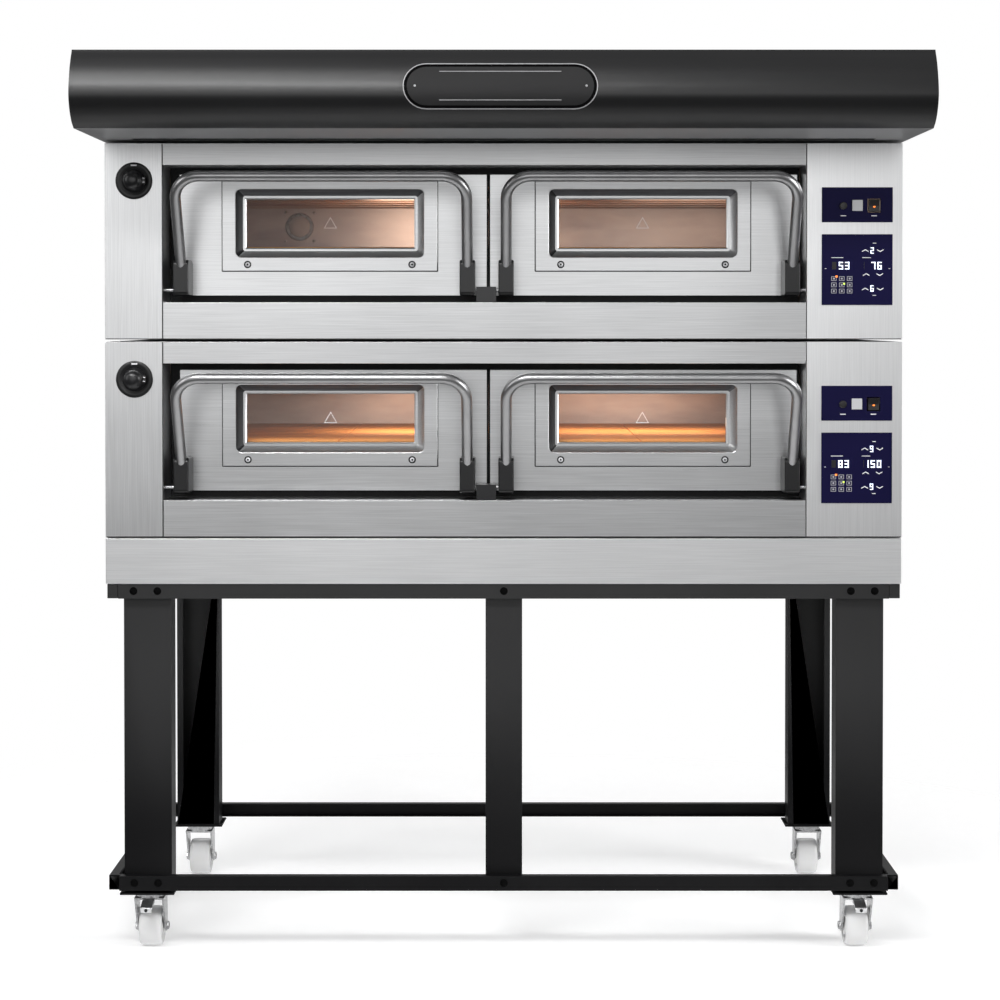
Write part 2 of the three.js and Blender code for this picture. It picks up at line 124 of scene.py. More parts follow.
soft_lamp("lamp_front", (-0.6, -7.6, 2.3), (0.0, 0.0, 1.1), (5.6, 2.8), 84)
soft_lamp("lamp_left", (-4.6, -2.6, 2.4), (-0.2, -0.3, 1.0), (1.6, 2.6), 40)
soft_lamp("lamp_right", (4.8, -2.4, 2.0), (0.3, -0.3, 1.0), (2.0, 2.8), 150)
soft_lamp("lamp_hood", (-1.1, -3.1, 3.4), (-0.2, -0.7, 1.72), (2.6, 0.45), 96)
soft_lamp("lamp_back", (0.0, 4.6, 3.6), (0.0, 0.3, 0.8), (5.0, 2.0), 120)
print("studio lit")

# %% [markdown]
# ## Finishes made from nodes
# Each finish is a small node tree. Object coordinates are used throughout, so the grain keeps its real size
# and stays on its part when the part moves.
# Stretching a noise pattern until it is far longer than it is tall
# turns it into the fine scratches of brushed metal.

# %% Helpers for finishes
def new_finish(name):
    material = bpy.data.materials.new(name)
    material.use_nodes = True
    tree = material.node_tree
    return material, tree, tree.nodes["Principled BSDF"]


def noise(tree, scale, stretch=(1.0, 1.0, 1.0), detail=3.0):
    place = tree.nodes.new("ShaderNodeTexCoord")
    mapping = tree.nodes.new("ShaderNodeMapping")
    mapping.inputs["Scale"].default_value = stretch
    texture = tree.nodes.new("ShaderNodeTexNoise")
    texture.inputs["Scale"].default_value = scale
    texture.inputs["Detail"].default_value = detail
    tree.links.new(place.outputs["Object"], mapping.inputs["Vector"])
    tree.links.new(mapping.outputs["Vector"], texture.inputs["Vector"])
    return texture.outputs["Fac"]


def ramp(tree, value, low, high, start=0.3, stop=0.7):
    node = tree.nodes.new("ShaderNodeValToRGB")
    node.color_ramp.elements[0].position = start
    node.color_ramp.elements[1].position = stop
    node.color_ramp.elements[0].color = (*low, 1.0)
    node.color_ramp.elements[1].color = (*high, 1.0)
    tree.links.new(value, node.inputs["Fac"])
    return node.outputs["Color"]


def between(tree, value, low, high):
    node = tree.nodes.new("ShaderNodeMapRange")
    node.inputs["To Min"].default_value = low
    node.inputs["To Max"].default_value = high
    tree.links.new(value, node.inputs["Value"])
    return node.outputs["Result"]


def bump(tree, shader, height, strength, distance):
    node = tree.nodes.new("ShaderNodeBump")
    node.inputs["Strength"].default_value = strength
    node.inputs["Distance"].default_value = distance
    tree.links.new(height, node.inputs["Height"])
    tree.links.new(node.outputs["Normal"], shader.inputs["Normal"])


print("finish helpers ready")

# %% [markdown]
# ## Brushed steel
# A rolled sheet is scratched all one way, and it is also a little cloudy over a hand's breadth.
# The grain and the cloud are added in fixed shares, and the sum picks a grey.
# The grain alone roughens the shine.

# %% Brushed steel
GRAIN_SHARE = 0.55
ALONG_X = (1.0, 40.0, 90.0)
ALONG_Z = (90.0, 40.0, 1.0)
ALL_WAYS = (18.0, 18.0, 18.0)


def brushed(name, low, high, rough, stretch, metallic=1.0):
    material, tree, shader = new_finish(name)
    grain = noise(tree, 9.0, stretch, 6.0)
    cloud = noise(tree, 2.2, detail=2.0)
    mixed = tree.nodes.new("ShaderNodeMath")
    mixed.operation = "MULTIPLY_ADD"
    mixed.inputs[1].default_value = GRAIN_SHARE
    tree.links.new(grain, mixed.inputs[0])
    rest = tree.nodes.new("ShaderNodeMath")
    rest.operation = "MULTIPLY"
    rest.inputs[1].default_value = 1.0 - GRAIN_SHARE
    tree.links.new(cloud, rest.inputs[0])
    tree.links.new(rest.outputs[0], mixed.inputs[2])
    tree.links.new(ramp(tree, mixed.outputs[0], low, high, 0.35, 0.65), shader.inputs["Base Color"])
    shader.inputs["Metallic"].default_value = metallic
    tree.links.new(between(tree, grain, rough - 0.06, rough + 0.08), shader.inputs["Roughness"])
    bump(tree, shader, grain, 0.03, 0.0002)
    return material


SHEET = ((0.50, 0.505, 0.51), (0.66, 0.665, 0.67))
UPRIGHT = ((0.52, 0.525, 0.53), (0.68, 0.685, 0.69))
UNDERSIDE_PAINTED_SHADE = ((0.46, 0.46, 0.465), (0.60, 0.60, 0.605))
TRAY = ((0.74, 0.745, 0.75), (0.86, 0.865, 0.87))
PAINTED_LIT_SHEET = ((0.80, 0.805, 0.81), (0.92, 0.925, 0.93))
SLOPE_PAINTED_SHADE = ((0.10, 0.10, 0.105), (0.20, 0.20, 0.21))
SHADOW = ((0.018, 0.018, 0.019), (0.035, 0.035, 0.037))
steel = brushed("brushed_steel", *SHEET, 0.34, ALONG_X)
steel_shaded = brushed("brushed_steel_lintel", *SHEET, 0.36, ALONG_X)
# The hood's underside copy is painted darker: painted shade under the hood.
steel_under_painted_shade = brushed("hood_underside_painted_shade", *UNDERSIDE_PAINTED_SHADE, 0.38, ALONG_X)
steel_base = brushed("brushed_steel_tray", *TRAY, 0.40, ALONG_X)
steel_upright = brushed("brushed_steel_upright", *UPRIGHT, 0.33, ALONG_Z)
# The control pillar's copy of the steel is painted lighter, as painted light on that side of the oven.
steel_control_painted_light = brushed("brushed_steel_painted_light", *PAINTED_LIT_SHEET, 0.33, ALONG_Z)
steel_door = brushed("brushed_steel_door", *SHEET, 0.30, ALONG_X)
# The two darkest copies are painted shade and painted shadow for the window slopes.
steel_slope_painted_shade = brushed("dark_recess_steel", *SLOPE_PAINTED_SHADE, 0.35, ALONG_X)
steel_slope_painted_shadow = brushed("shadow_side_steel", *SHADOW, 0.40, ALONG_X, 0.6)
zinc_bright = brushed("zinc_plate_bright", (0.62, 0.625, 0.63), (0.80, 0.805, 0.81), 0.34, ALL_WAYS)
zinc = brushed("zinc_plate", (0.22, 0.22, 0.225), (0.50, 0.505, 0.51), 0.28, ALL_WAYS)
chamber_steel = brushed("chamber_steel", (0.38, 0.345, 0.35), (0.60, 0.55, 0.545), 0.40, (1.0, 2.0, 3.0))

tube_steel, tube_tree, tube_shader = new_finish("polished_tube_steel")
tube_cloud = noise(tube_tree, 14.0, detail=2.0)
tube_grey = ramp(tube_tree, tube_cloud, (0.33, 0.33, 0.335), (0.39, 0.39, 0.395))
tube_tree.links.new(tube_grey, tube_shader.inputs["Base Color"])
tube_tree.links.new(between(tube_tree, tube_cloud, 0.31, 0.37), tube_shader.inputs["Roughness"])
tube_shader.inputs["Metallic"].default_value = 1.0
print("steels made")

# %% [markdown]
# ## Black paints and plastics
# Powder coat is not smooth: it dries with a fine orange-peel texture, which a tight noise bump gives.
# The hood is the same black with a finer texture, so its curve shows one long soft highlight.

# %% Paints and plastics
def painted(name, low, high, rough, scale, height, sheen=0.5):
    material, tree, shader = new_finish(name)
    grain = noise(tree, scale, (1.0, 1.0, 1.0), 4.0)
    cloud = noise(tree, 3.0, detail=2.0)
    tree.links.new(ramp(tree, cloud, low, high), shader.inputs["Base Color"])
    tree.links.new(between(tree, grain, rough - 0.06, rough + 0.08), shader.inputs["Roughness"])
    shader.inputs["Specular IOR Level"].default_value = sheen
    bump(tree, shader, grain, 0.25, height)
    return material


stand_black = painted(
    "stand_powder_coat", (0.004, 0.004, 0.0045), (0.008, 0.008, 0.0085), 0.44, 900.0, 0.0002, 0.40)
hood_black = painted(
    "hood_powder_coat", (0.003, 0.003, 0.0034), (0.006, 0.006, 0.0064), 0.36, 1200.0, 0.0001, 0.45)
plastic_black = painted("black_plastic", (0.006, 0.006, 0.007), (0.012, 0.012, 0.013), 0.30, 700.0, 0.00008)
deep_black = painted(
    "deep_black", (0.0004, 0.0004, 0.0005), (0.0010, 0.0010, 0.0011), 0.75, 500.0, 0.00005, 0.06)
badge_face = painted(
    "badge_face", (0.010, 0.010, 0.0105), (0.016, 0.016, 0.0165), 0.62, 900.0, 0.00005, 0.25)
# This pale grey is the badge's own trim on its pins and lines, and a painted highlight on its outline.
badge_trim_and_highlight = painted("badge_trim_and_highlight", (0.30, 0.30, 0.31), (0.38, 0.38, 0.39), 0.35, 400.0, 0.00002)
plastic_grey = painted(
    "bracket_plastic", (0.004, 0.004, 0.0045), (0.009, 0.009, 0.0095), 0.30, 700.0, 0.00008, 0.45)
rim_grey = painted(
    "bezel_grey", (0.006, 0.006, 0.0065), (0.012, 0.012, 0.0125), 0.34, 700.0, 0.00005, 0.4)
# This black is real rubber on seals and lips, and painted shade on the sill and round and inside the window
# screws.
black_rubber_and_shade = painted(
    "seal_rubber_and_painted_shade", (0.008, 0.008, 0.009), (0.014, 0.014, 0.015), 0.6, 500.0, 0.0001, 0.3)
panel_navy = painted(
    "panel_navy", (0.0030, 0.0026, 0.026), (0.0055, 0.0045, 0.038), 0.42, 300.0, 0.00001, 0.10)
# This white is print on marks and signs, and a painted highlight on the window screw heads.
white_print_and_highlight = painted("printed_white_and_highlight", (0.78, 0.78, 0.80), (0.88, 0.88, 0.90), 0.5, 400.0, 0.00001)
mark_grey = painted("printed_grey", (0.30, 0.30, 0.33), (0.42, 0.42, 0.45), 0.5, 400.0, 0.00001)
switch_grey = painted("switch_grey", (0.42, 0.43, 0.44), (0.60, 0.61, 0.62), 0.5, 120.0, 0.00005)
nylon = painted("white_nylon", (0.58, 0.58, 0.58), (0.72, 0.72, 0.72), 0.42, 160.0, 0.00015)
nylon_shader = nylon.node_tree.nodes["Principled BSDF"]
nylon_shader.inputs["Subsurface Weight"].default_value = 0.15
nylon_shader.inputs["Subsurface Radius"].default_value = (0.01, 0.01, 0.008)
print("paints and plastics made")

# %% [markdown]
# ## Shine that fades down the stand
# The stand's legs catch the light near the oven and go dull near the floor.
# The height of a point in the object's own coordinates sets how shiny the paint is there, so this fading
# shine is a painted highlight standing for that light.

# %% Fading shine
DULL_HEIGHT, SHINY_HEIGHT = 0.22, 0.62
DULL_SHINE, FULL_SHINE = 0.08, 0.62
stand_tree = stand_black.node_tree
stand_place = stand_tree.nodes.new("ShaderNodeTexCoord")
stand_split = stand_tree.nodes.new("ShaderNodeSeparateXYZ")
stand_rise = stand_tree.nodes.new("ShaderNodeMapRange")
stand_rise.interpolation_type = "SMOOTHSTEP"
stand_rise.inputs["From Min"].default_value = DULL_HEIGHT
stand_rise.inputs["From Max"].default_value = SHINY_HEIGHT
stand_rise.inputs["To Min"].default_value = DULL_SHINE
stand_rise.inputs["To Max"].default_value = FULL_SHINE
stand_shine = stand_tree.nodes["Principled BSDF"].inputs["Specular IOR Level"]
stand_tree.links.new(stand_place.outputs["Object"], stand_split.inputs["Vector"])
stand_tree.links.new(stand_split.outputs["Z"], stand_rise.inputs["Value"])
stand_tree.links.new(stand_rise.outputs["Result"], stand_shine)
print("stand's shine set by height")

# %% [markdown]
# ## Stone, lights and glass
# Fired stone is matt and speckled. A lit digit gives off a little light of its own colour.
# The glass is thin and nearly clear, so a low alpha stands for it: it is quicker than true refraction
# and still reflects the room.

# %% Stone, lights and glass
stone, stone_tree, stone_shader = new_finish("fired_stone")
speck = noise(stone_tree, 90.0, detail=6.0)
drift = noise(stone_tree, 5.0, (1.0, 3.0, 1.0), 3.0)
stone_colour = ramp(stone_tree, drift, (0.60, 0.25, 0.06), (0.82, 0.40, 0.11))
stone_tree.links.new(stone_colour, stone_shader.inputs["Base Color"])
stone_tree.links.new(between(stone_tree, speck, 0.7, 0.9), stone_shader.inputs["Roughness"])
bump(stone_tree, stone_shader, speck, 0.3, 0.0005)


def glowing(name, colour, strength):
    material, tree, shader = new_finish(name)
    flicker = noise(tree, 60.0, detail=2.0)
    dim = tuple(part * 0.8 for part in colour)
    tree.links.new(ramp(tree, flicker, dim, colour), shader.inputs["Base Color"])
    shader.inputs["Emission Color"].default_value = (*colour, 1.0)
    shader.inputs["Emission Strength"].default_value = strength
    shader.inputs["Roughness"].default_value = 0.4
    return material


lit_white = glowing("lit_digit", (0.85, 0.90, 1.0), 1.0)
lit_orange = glowing("lit_orange", (1.0, 0.22, 0.03), 1.6)
lit_green = glowing("lit_green", (0.60, 0.85, 0.10), 0.9)

pane, pane_tree, pane_shader = new_finish("oven_glass")
smear = noise(pane_tree, 6.0, (1.0, 1.0, 3.0), 3.0)
pane_tree.links.new(between(pane_tree, smear, 0.02, 0.07), pane_shader.inputs["Roughness"])
pane_shader.inputs["Base Color"].default_value = (0.30, 0.29, 0.28, 1.0)
pane_shader.inputs["Alpha"].default_value = 0.10
pane_shader.inputs["Specular IOR Level"].default_value = 0.5
print("stone, lights and glass made")

# %% [markdown]
# ## Rounding the sheet-metal parts
# Real folded sheet has a small radius on each edge,
# and that thin bright line is what makes metal look folded.
# The frame's own meshes stay as they are, so each one is copied, its flat triangles are joined
# into whole faces, and a Bevel modifier rounds what is left.

# %% Helpers for pieces
DECKS = ("lower", "upper")
SIDES = ("left", "right")


def body_of(node):
    bodies = frame["record"]["behaviour"]["bodies"]
    return next(name for name, members in bodies.items() if node in members)


def deck_base(deck):
    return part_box(f"{deck}_sill")[0].z - 0.001


def finish_piece(piece, body, material, node=None, round_edges=0.0, steps=2, smooth=math.radians(35)):
    piece.data.materials.clear()
    for entry in material if isinstance(material, (list, tuple)) else [material]:
        piece.data.materials.append(entry)
    if round_edges > 0.0:
        rounding = piece.modifiers.new("rounded_edges", "BEVEL")
        rounding.width = round_edges
        rounding.segments = steps
        rounding.limit_method = "ANGLE"
        rounding.angle_limit = math.radians(30)
        rounding.harden_normals = True
    piece.data.shade_smooth()
    piece.data.set_sharp_from_angle(angle=smooth)
    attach(piece, body)
    if node:
        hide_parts(node)
    return piece


def rounded_copy(node, material, round_edges=0.0012, steps=2):
    data = frame["nodes"][node].data.copy()
    mesh = bmesh.new()
    mesh.from_mesh(data)
    bmesh.ops.remove_doubles(mesh, verts=mesh.verts, dist=0.00002)
    bmesh.ops.dissolve_limit(mesh, angle_limit=math.radians(1.0), verts=mesh.verts, edges=mesh.edges)
    bmesh.ops.recalc_face_normals(mesh, faces=mesh.faces)
    mesh.to_mesh(data)
    mesh.free()
    piece = bpy.data.objects.new(node + "_finished", data)
    bpy.context.scene.collection.objects.link(piece)
    return finish_piece(piece, body_of(node), material, node, round_edges, steps)


def box_points(low, high):
    return [(x, y, z) for x in (low[0], high[0]) for y in (low[1], high[1]) for z in (low[2], high[2])]


def add_box(mesh, low, high):
    corners = [mesh.verts.new(point) for point in box_points(low, high)]
    for a, b, c, d in ((0, 1, 3, 2), (4, 6, 7, 5), (0, 4, 5, 1), (2, 3, 7, 6), (0, 2, 6, 4), (1, 5, 7, 3)):
        mesh.faces.new([corners[i] for i in (a, b, c, d)])


def add_prism(mesh, near, far):
    mesh.faces.new(near)
    mesh.faces.new(list(reversed(far)))
    for i in range(len(near)):
        j = (i + 1) % len(near)
        mesh.faces.new((near[i], far[i], far[j], near[j]))


def piece_from(name, build, body, material, round_edges=0.0, steps=2, smooth=math.radians(35), node=None):
    mesh = bmesh.new()
    build(mesh)
    bmesh.ops.recalc_face_normals(mesh, faces=mesh.faces)
    data = bpy.data.meshes.new(name)
    mesh.to_mesh(data)
    mesh.free()
    piece = bpy.data.objects.new(name, data)
    bpy.context.scene.collection.objects.link(piece)
    return finish_piece(piece, body, material, node, round_edges, steps, smooth)


print("piece helpers ready")

# %% [markdown]
# ## Sheet parts, stones and stand
# Most parts of the frame only need a finish and a small radius, so a table names both for each of them.
# The hood's canopy is black outside and bare steel underneath, and that steel is painted darker as shade
# under the hood. Its flat top is shaded flat, because smooth shading would draw wedges across its long
# triangles.
# The first stretch of each chamber, behind its doors, is black as the door seals are.

# %% Rounded copies of frame parts
STAND_PARTS = ("leg_front_left", "leg_front_right", "leg_rear_left", "leg_rear_right", "leg_centre",
               "stand_top_frame", "stand_lower_frame")
UNDERSIDE_TOP = 1.66
MOUTH_DEPTH = 0.125
rounded = []
# The control pillar takes the steel with painted light.
for deck in DECKS:
    for part, coat, edge in (
        ("casing", steel, 0.002), ("left_pillar", steel_upright, 0.0015),
        ("control_pillar", steel_control_painted_light, 0.0015), ("lintel", steel_shaded, 0.0015),
        ("sill", steel, 0.0025), ("chamber", chamber_steel, 0.0006), ("stone", stone, 0.001),
        ("pivot_block", plastic_black, 0.002), ("switch_panel", panel_navy, 0.0008),
        ("display_panel", panel_navy, 0.0008), ("rocker_switch", plastic_black, 0.0008),
    ):
        rounded.append(rounded_copy(f"{deck}_{part}", coat, edge))
for node in STAND_PARTS:
    rounded.append(rounded_copy(node, stand_black, 0.0015))
rounded.append(rounded_copy("base_panel", steel_base, 0.0015))
canopy = rounded_copy("hood_canopy", [hood_black, steel_under_painted_shade], 0.0)
for face in canopy.data.polygons:
    # Faces underneath take the steel with painted shade.
    if face.center.z < UNDERSIDE_TOP and abs(face.normal.z) > 0.5:
        face.material_index = 1
    if abs(face.normal.z) > 0.99:
        face.use_smooth = False
rounded.append(canopy)
for deck in DECKS:
    chamber = next(piece for piece in rounded if piece.name.startswith(f"{deck}_chamber"))
    chamber.data.materials.append(black_rubber_and_shade)
    for face in chamber.data.polygons:
        if face.center.y < FRONT_Y + MOUTH_DEPTH:
            face.material_index = 1
print("rounded parts:", len(rounded))

# %% [markdown]
# ## Seams
# Where two sheets meet there is a narrow dark line. A dark strip less than two millimetres wide draws it, and
# a wider one is painted shade on the top of the sill under the doors.

# %% Seams
def add_strip(name, low, high):
    piece_from(name, lambda mesh: add_box(mesh, low, high), "frame", black_rubber_and_shade)


for deck in DECKS:
    sill_low, sill_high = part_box(f"{deck}_sill")
    lintel_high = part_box(f"{deck}_lintel")[1]
    for name, edge in (("left", sill_low.x - 0.0019), ("right", sill_high.x + 0.0004)):
        add_strip(f"{deck}_{name}_seam", (edge, FRONT_Y - 0.0002, sill_low.z + 0.001),
                  (edge + 0.0016, FRONT_Y + 0.0002, lintel_high.z - 0.001))
    pillar_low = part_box(f"{deck}_left_pillar")[0]
    pillar_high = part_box(f"{deck}_control_pillar")[1]
    add_strip(f"{deck}_lower_seam", (pillar_low.x + 0.002, FRONT_Y - 0.0002, pillar_low.z + 0.0002),
              (pillar_high.x - 0.002, FRONT_Y + 0.0002, pillar_low.z + 0.0019))
    # A wide strip of painted shade lies on the sill top under the doors.
    add_strip(f"{deck}_sill_gap", (sill_low.x + 0.001, FRONT_Y + 0.0300, sill_high.z - 0.0002),
              (sill_high.x - 0.001, FRONT_Y + 0.0720, sill_high.z + 0.0003))
print("seams drawn")

# %% [markdown]
# ## Doors and their windows
# Each door is a shallow steel box with a plain inset panel around the glass.
# The panel is pressed inwards to meet the glass. Each loop below is one line of the pressing,
# from the back edge, over the flat, down the slope and back again, and faces join each loop to the next.

# %% Window shapes
FRAME_SIZE = (0.438, 0.182)


def rounded_loop(mesh, centre, size, radius, y, corner_steps=6):
    points = []
    for sx, sz, start in ((1, 1, 0), (-1, 1, 90), (-1, -1, 180), (1, -1, 270)):
        cx = centre[0] + sx * (size[0] / 2 - radius)
        cz = centre[1] + sz * (size[1] / 2 - radius)
        for i in range(corner_steps + 1):
            angle = math.radians(start + 90 * i / corner_steps)
            points.append(mesh.verts.new((cx + radius * math.cos(angle), y, cz + radius * math.sin(angle))))
    return points


def skin_loops(mesh, loops):
    for first, second in zip(loops, loops[1:] + loops[:1]):
        count = len(first)
        for i in range(count):
            j = (i + 1) % count
            mesh.faces.new((first[i], first[j], second[j], second[i]))


def window_surround(centre, face, back):
    def build(mesh):
        pane_centre = (centre[0], centre[1] + 0.006)
        loops = [
            rounded_loop(mesh, centre, FRAME_SIZE, 0.0015, back),
            rounded_loop(mesh, centre, FRAME_SIZE, 0.0015, face + 0.0006),
            rounded_loop(mesh, centre, (0.4366, 0.1806), 0.0010, face),
            rounded_loop(mesh, pane_centre, (0.386, 0.141), 0.0125, face),
            rounded_loop(mesh, pane_centre, (0.3835, 0.1385), 0.0115, face + 0.0006),
            rounded_loop(mesh, pane_centre, (0.3815, 0.1365), 0.0110, face + 0.0022),
            rounded_loop(mesh, pane_centre, (0.3585, 0.1145), 0.0060, face + 0.0125),
            rounded_loop(mesh, pane_centre, (0.3565, 0.1125), 0.0050, face + 0.0132),
            rounded_loop(mesh, pane_centre, (0.3480, 0.1045), 0.0030, face + 0.0132),
            rounded_loop(mesh, pane_centre, (0.3465, 0.1030), 0.0025, face + 0.0138),
            rounded_loop(mesh, pane_centre, (0.3430, 0.1000), 0.0020, face + 0.0150),
            rounded_loop(mesh, pane_centre, (0.3430, 0.1000), 0.0020, face + 0.0160),
            rounded_loop(mesh, pane_centre, (0.3600, 0.1170), 0.0060, face + 0.0150),
            rounded_loop(mesh, pane_centre, (0.3840, 0.1400), 0.0110, back),
        ]
        skin_loops(mesh, loops)
    return build


def flat_ring(centre, outer, inner, y0, y1, radius=0.002):
    def build(mesh):
        corners = ((outer, y0), (outer, y1), (inner, y1), (inner, y0))
        skin_loops(mesh, [rounded_loop(mesh, centre, size, radius, y) for size, y in corners])
    return build


def triangle_outline(centre, size, y, line=0.0026, proud=0.0002):
    def build(mesh):
        loops = []
        for reach, place in ((size, y - proud), (size - line, y - proud), (size - line, y), (size, y)):
            loop = []
            for angle in (math.radians(90), math.radians(210), math.radians(330)):
                x, z = centre[0] + reach * math.cos(angle), centre[1] + reach * math.sin(angle)
                loop.append(mesh.verts.new((x, place, z)))
            loops.append(loop)
        skin_loops(mesh, loops)
    return build


print("window shapes ready")

# %% [markdown]
# ## Putting the doors together
# The left slope of each pressing takes the darkest finish and the upper slope a dark one: both are painted
# shade, standing for the dark reflections these slopes show on pressed steel under a studio lamp. A thin dark
# ring lies round each panel, and a rubber lip closes the gap where two doors meet.

# %% Doors
LIP_WIDTH = 0.0034
SLOPE_HALF_WIDTH = 0.1935
for deck in DECKS:
    for side in SIDES:
        body = f"{deck}_{side}_door"
        node = f"{deck}_{side}_window_frame"
        rounded_copy(f"{deck}_{side}_door_panel", steel_door, 0.002)
        low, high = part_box(node)
        door_low, door_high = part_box(f"{deck}_{side}_door_panel")
        centre = ((low.x + high.x) / 2, (low.z + high.z) / 2)
        surround = piece_from(node + "_pressed", window_surround(centre, low.y, door_low.y - 0.0001), body,
                              [steel_door, steel_slope_painted_shade, steel_slope_painted_shadow], smooth=math.radians(22), node=node)
        # Slopes facing right get the painted shadow and slopes facing down get the painted shade.
        for face in surround.data.polygons:
            inside = low.y + 0.0004 < face.center.y < low.y + 0.0131
            if inside and abs(face.normal.y) < 0.97 and abs(face.center.x - centre[0]) < SLOPE_HALF_WIDTH:
                if face.normal.x > 0.35:
                    face.material_index = 2
                elif face.normal.z < -0.35:
                    face.material_index = 1
        gap = flat_ring(centre, (0.4415, 0.1855), (0.430, 0.174), door_low.y - 0.0002, door_low.y + 0.0003)
        piece_from(node + "_shadow_gap", gap, body, black_rubber_and_shade)
        glass = frame["nodes"][f"{deck}_{side}_door_glass"]
        glass.data.materials.clear()
        glass.data.materials.append(pane)
        glass_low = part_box(f"{deck}_{side}_door_glass")[0]
        sign = triangle_outline((centre[0], centre[1] + 0.004), 0.0155, glass_low.y - 0.0001)
        piece_from(f"{deck}_{side}_glass_sign", sign, body, white_print_and_highlight)
        lip = door_high.x if side == "left" else door_low.x
        away = LIP_WIDTH if side == "left" else -LIP_WIDTH
        piece_from(f"{deck}_{side}_door_lip", lambda mesh: add_box(
            mesh, (min(lip, lip + away), door_low.y + 0.008, door_low.z + 0.004),
            (max(lip, lip + away), door_high.y - 0.004, door_high.z - 0.004)), body, black_rubber_and_shade, 0.0008)
print("doors and windows:", len(DECKS) * len(SIDES))

# %% [markdown]
# ## Door bars
# Each bar is one steel tube bent twice. A curve with a round bevel sweeps the tube along its path,
# and turning it into a mesh fixes its place. The path leans forwards from a foot on the door's brackets,
# so the tube lies where the frame's own bar does.

# %% Tubes
def tube_along(name, points, radius, body, material, node=None, sides=6):
    curve = bpy.data.curves.new(name + "_path", "CURVE")
    curve.dimensions = "3D"
    curve.bevel_depth = radius
    curve.bevel_resolution = sides
    curve.use_fill_caps = True
    spline = curve.splines.new("POLY")
    spline.points.add(len(points) - 1)
    for point, place in zip(spline.points, points):
        point.co = (*place, 1.0)
    holder = bpy.data.objects.new(name + "_path", curve)
    bpy.context.scene.collection.objects.link(holder)
    bpy.context.view_layer.update()
    data = bpy.data.meshes.new_from_object(holder.evaluated_get(bpy.context.evaluated_depsgraph_get()))
    bpy.data.objects.remove(holder)
    mesh = bmesh.new()
    mesh.from_mesh(data)
    bmesh.ops.remove_doubles(mesh, verts=mesh.verts, dist=0.00001)
    bmesh.ops.recalc_face_normals(mesh, faces=mesh.faces)
    mesh.to_mesh(data)
    mesh.free()
    piece = bpy.data.objects.new(name, data)
    bpy.context.scene.collection.objects.link(piece)
    return finish_piece(piece, body, material, node, 0.0, 1, math.radians(50))


print("tube helper ready")

# %% Door bars
TUBE_RADIUS = 0.011
BEND = 0.050
BEND_STEPS = 16
BAR_HALF = 0.288
BAR_MIDDLE = {"left": -0.361, "right": 0.293}
BRACKET_HALF = 0.0155
PIN_SPANS = {"left": ((-0.6875, -0.649), (-0.073, -0.044)), "right": ((-0.026, 0.005), (0.581, 0.6105))}
for deck in DECKS:
    for side in SIDES:
        body = f"{deck}_{side}_door"
        node = f"{deck}_{side}_handle"
        base = deck_base(deck)
        ends = (BAR_MIDDLE[side] - BAR_HALF, BAR_MIDDLE[side] + BAR_HALF)
        foot = Vector((0.0, FRONT_Y + 0.014, base + 0.150))
        head = Vector((0.0, FRONT_Y - 0.092, base + 0.323))
        rise = (head - foot).normalized()
        reach = (head - foot).length

        def on_plane(x, along):
            return tuple(Vector((x, 0.0, 0.0)) + foot + rise * along)

        route = [on_plane(ends[0], 0.0)]
        for end, inward, order in ((ends[0], 1, 1), (ends[1], -1, -1)):
            for step in range(BEND_STEPS + 1)[::order]:
                angle = math.radians(90) * step / BEND_STEPS
                x = end + inward * BEND * (1 - math.cos(angle))
                route.append(on_plane(x, reach - BEND + BEND * math.sin(angle)))
        route.append(on_plane(ends[1], 0.0))
        tube_along(node + "_tube", route, TUBE_RADIUS, body, tube_steel, node)

        def brackets(mesh):
            front, back = FRONT_Y + 0.004, FRONT_Y + 0.0747
            outline = (
                (front, 0.094), (front + 0.002, 0.091), (front + 0.007, 0.0885), (back, 0.0885),
                (back, 0.154), (back - 0.007, 0.161), (front + 0.007, 0.161), (front, 0.154),
            )
            for x in ends:
                rings = []
                for edge in (x - BRACKET_HALF, x + BRACKET_HALF):
                    rings.append([mesh.verts.new((edge, y, base + z)) for y, z in outline])
                add_prism(mesh, *rings)

        piece_from(node + "_brackets", brackets, body, plastic_grey, 0.003, 3)
        for count, (start, stop) in enumerate(PIN_SPANS[side]):
            points = [(start + (stop - start) * i / 4, FRONT_Y + 0.025, base + 0.100) for i in range(5)]
            tube_along(f"{node}_pin_{count}", points, 0.004, body, zinc, None, 3)
print("door bars made")

# %% [markdown]
# ## The hood front
# The hood is one sheet rolled to a curve that is fullest a little over a third of the way up.
# A smooth spline through a few heights gives the roll, and the sheet is drawn out across the oven's width.

# %% Hood front
HOOD_BOTTOM, HOOD_TOP = 1.6412, 1.7868
HOOD_HALF_WIDTH = 0.808
HOOD_ROWS = 40
SHEET_THICKNESS = 0.0015
HOOD_CURVE = ((1.641, -0.290), (1.650, -0.308), (1.663, -0.323), (1.679, -0.334), (1.697, -0.340),
              (1.715, -0.339), (1.733, -0.334), (1.751, -0.327), (1.769, -0.317), (1.787, -0.305))


def hood_y(z):
    last = len(HOOD_CURVE) - 2
    i = next((k for k in range(last + 1) if z <= HOOD_CURVE[k + 1][0]), last)
    (z0, y0), (z1, y1) = HOOD_CURVE[i], HOOD_CURVE[i + 1]
    before = HOOD_CURVE[max(i - 1, 0)][1]
    after = HOOD_CURVE[min(i + 2, last + 1)][1]
    t = min(max((z - z0) / (z1 - z0), 0.0), 1.0)
    a, b = (y1 - before) / 2, (after - y0) / 2
    y = (2 * t**3 - 3 * t**2 + 1) * y0 + (t**3 - 2 * t**2 + t) * a
    y += (-2 * t**3 + 3 * t**2) * y1 + (t**3 - t**2) * b
    return FRONT_Y + y + SHEET_THICKNESS


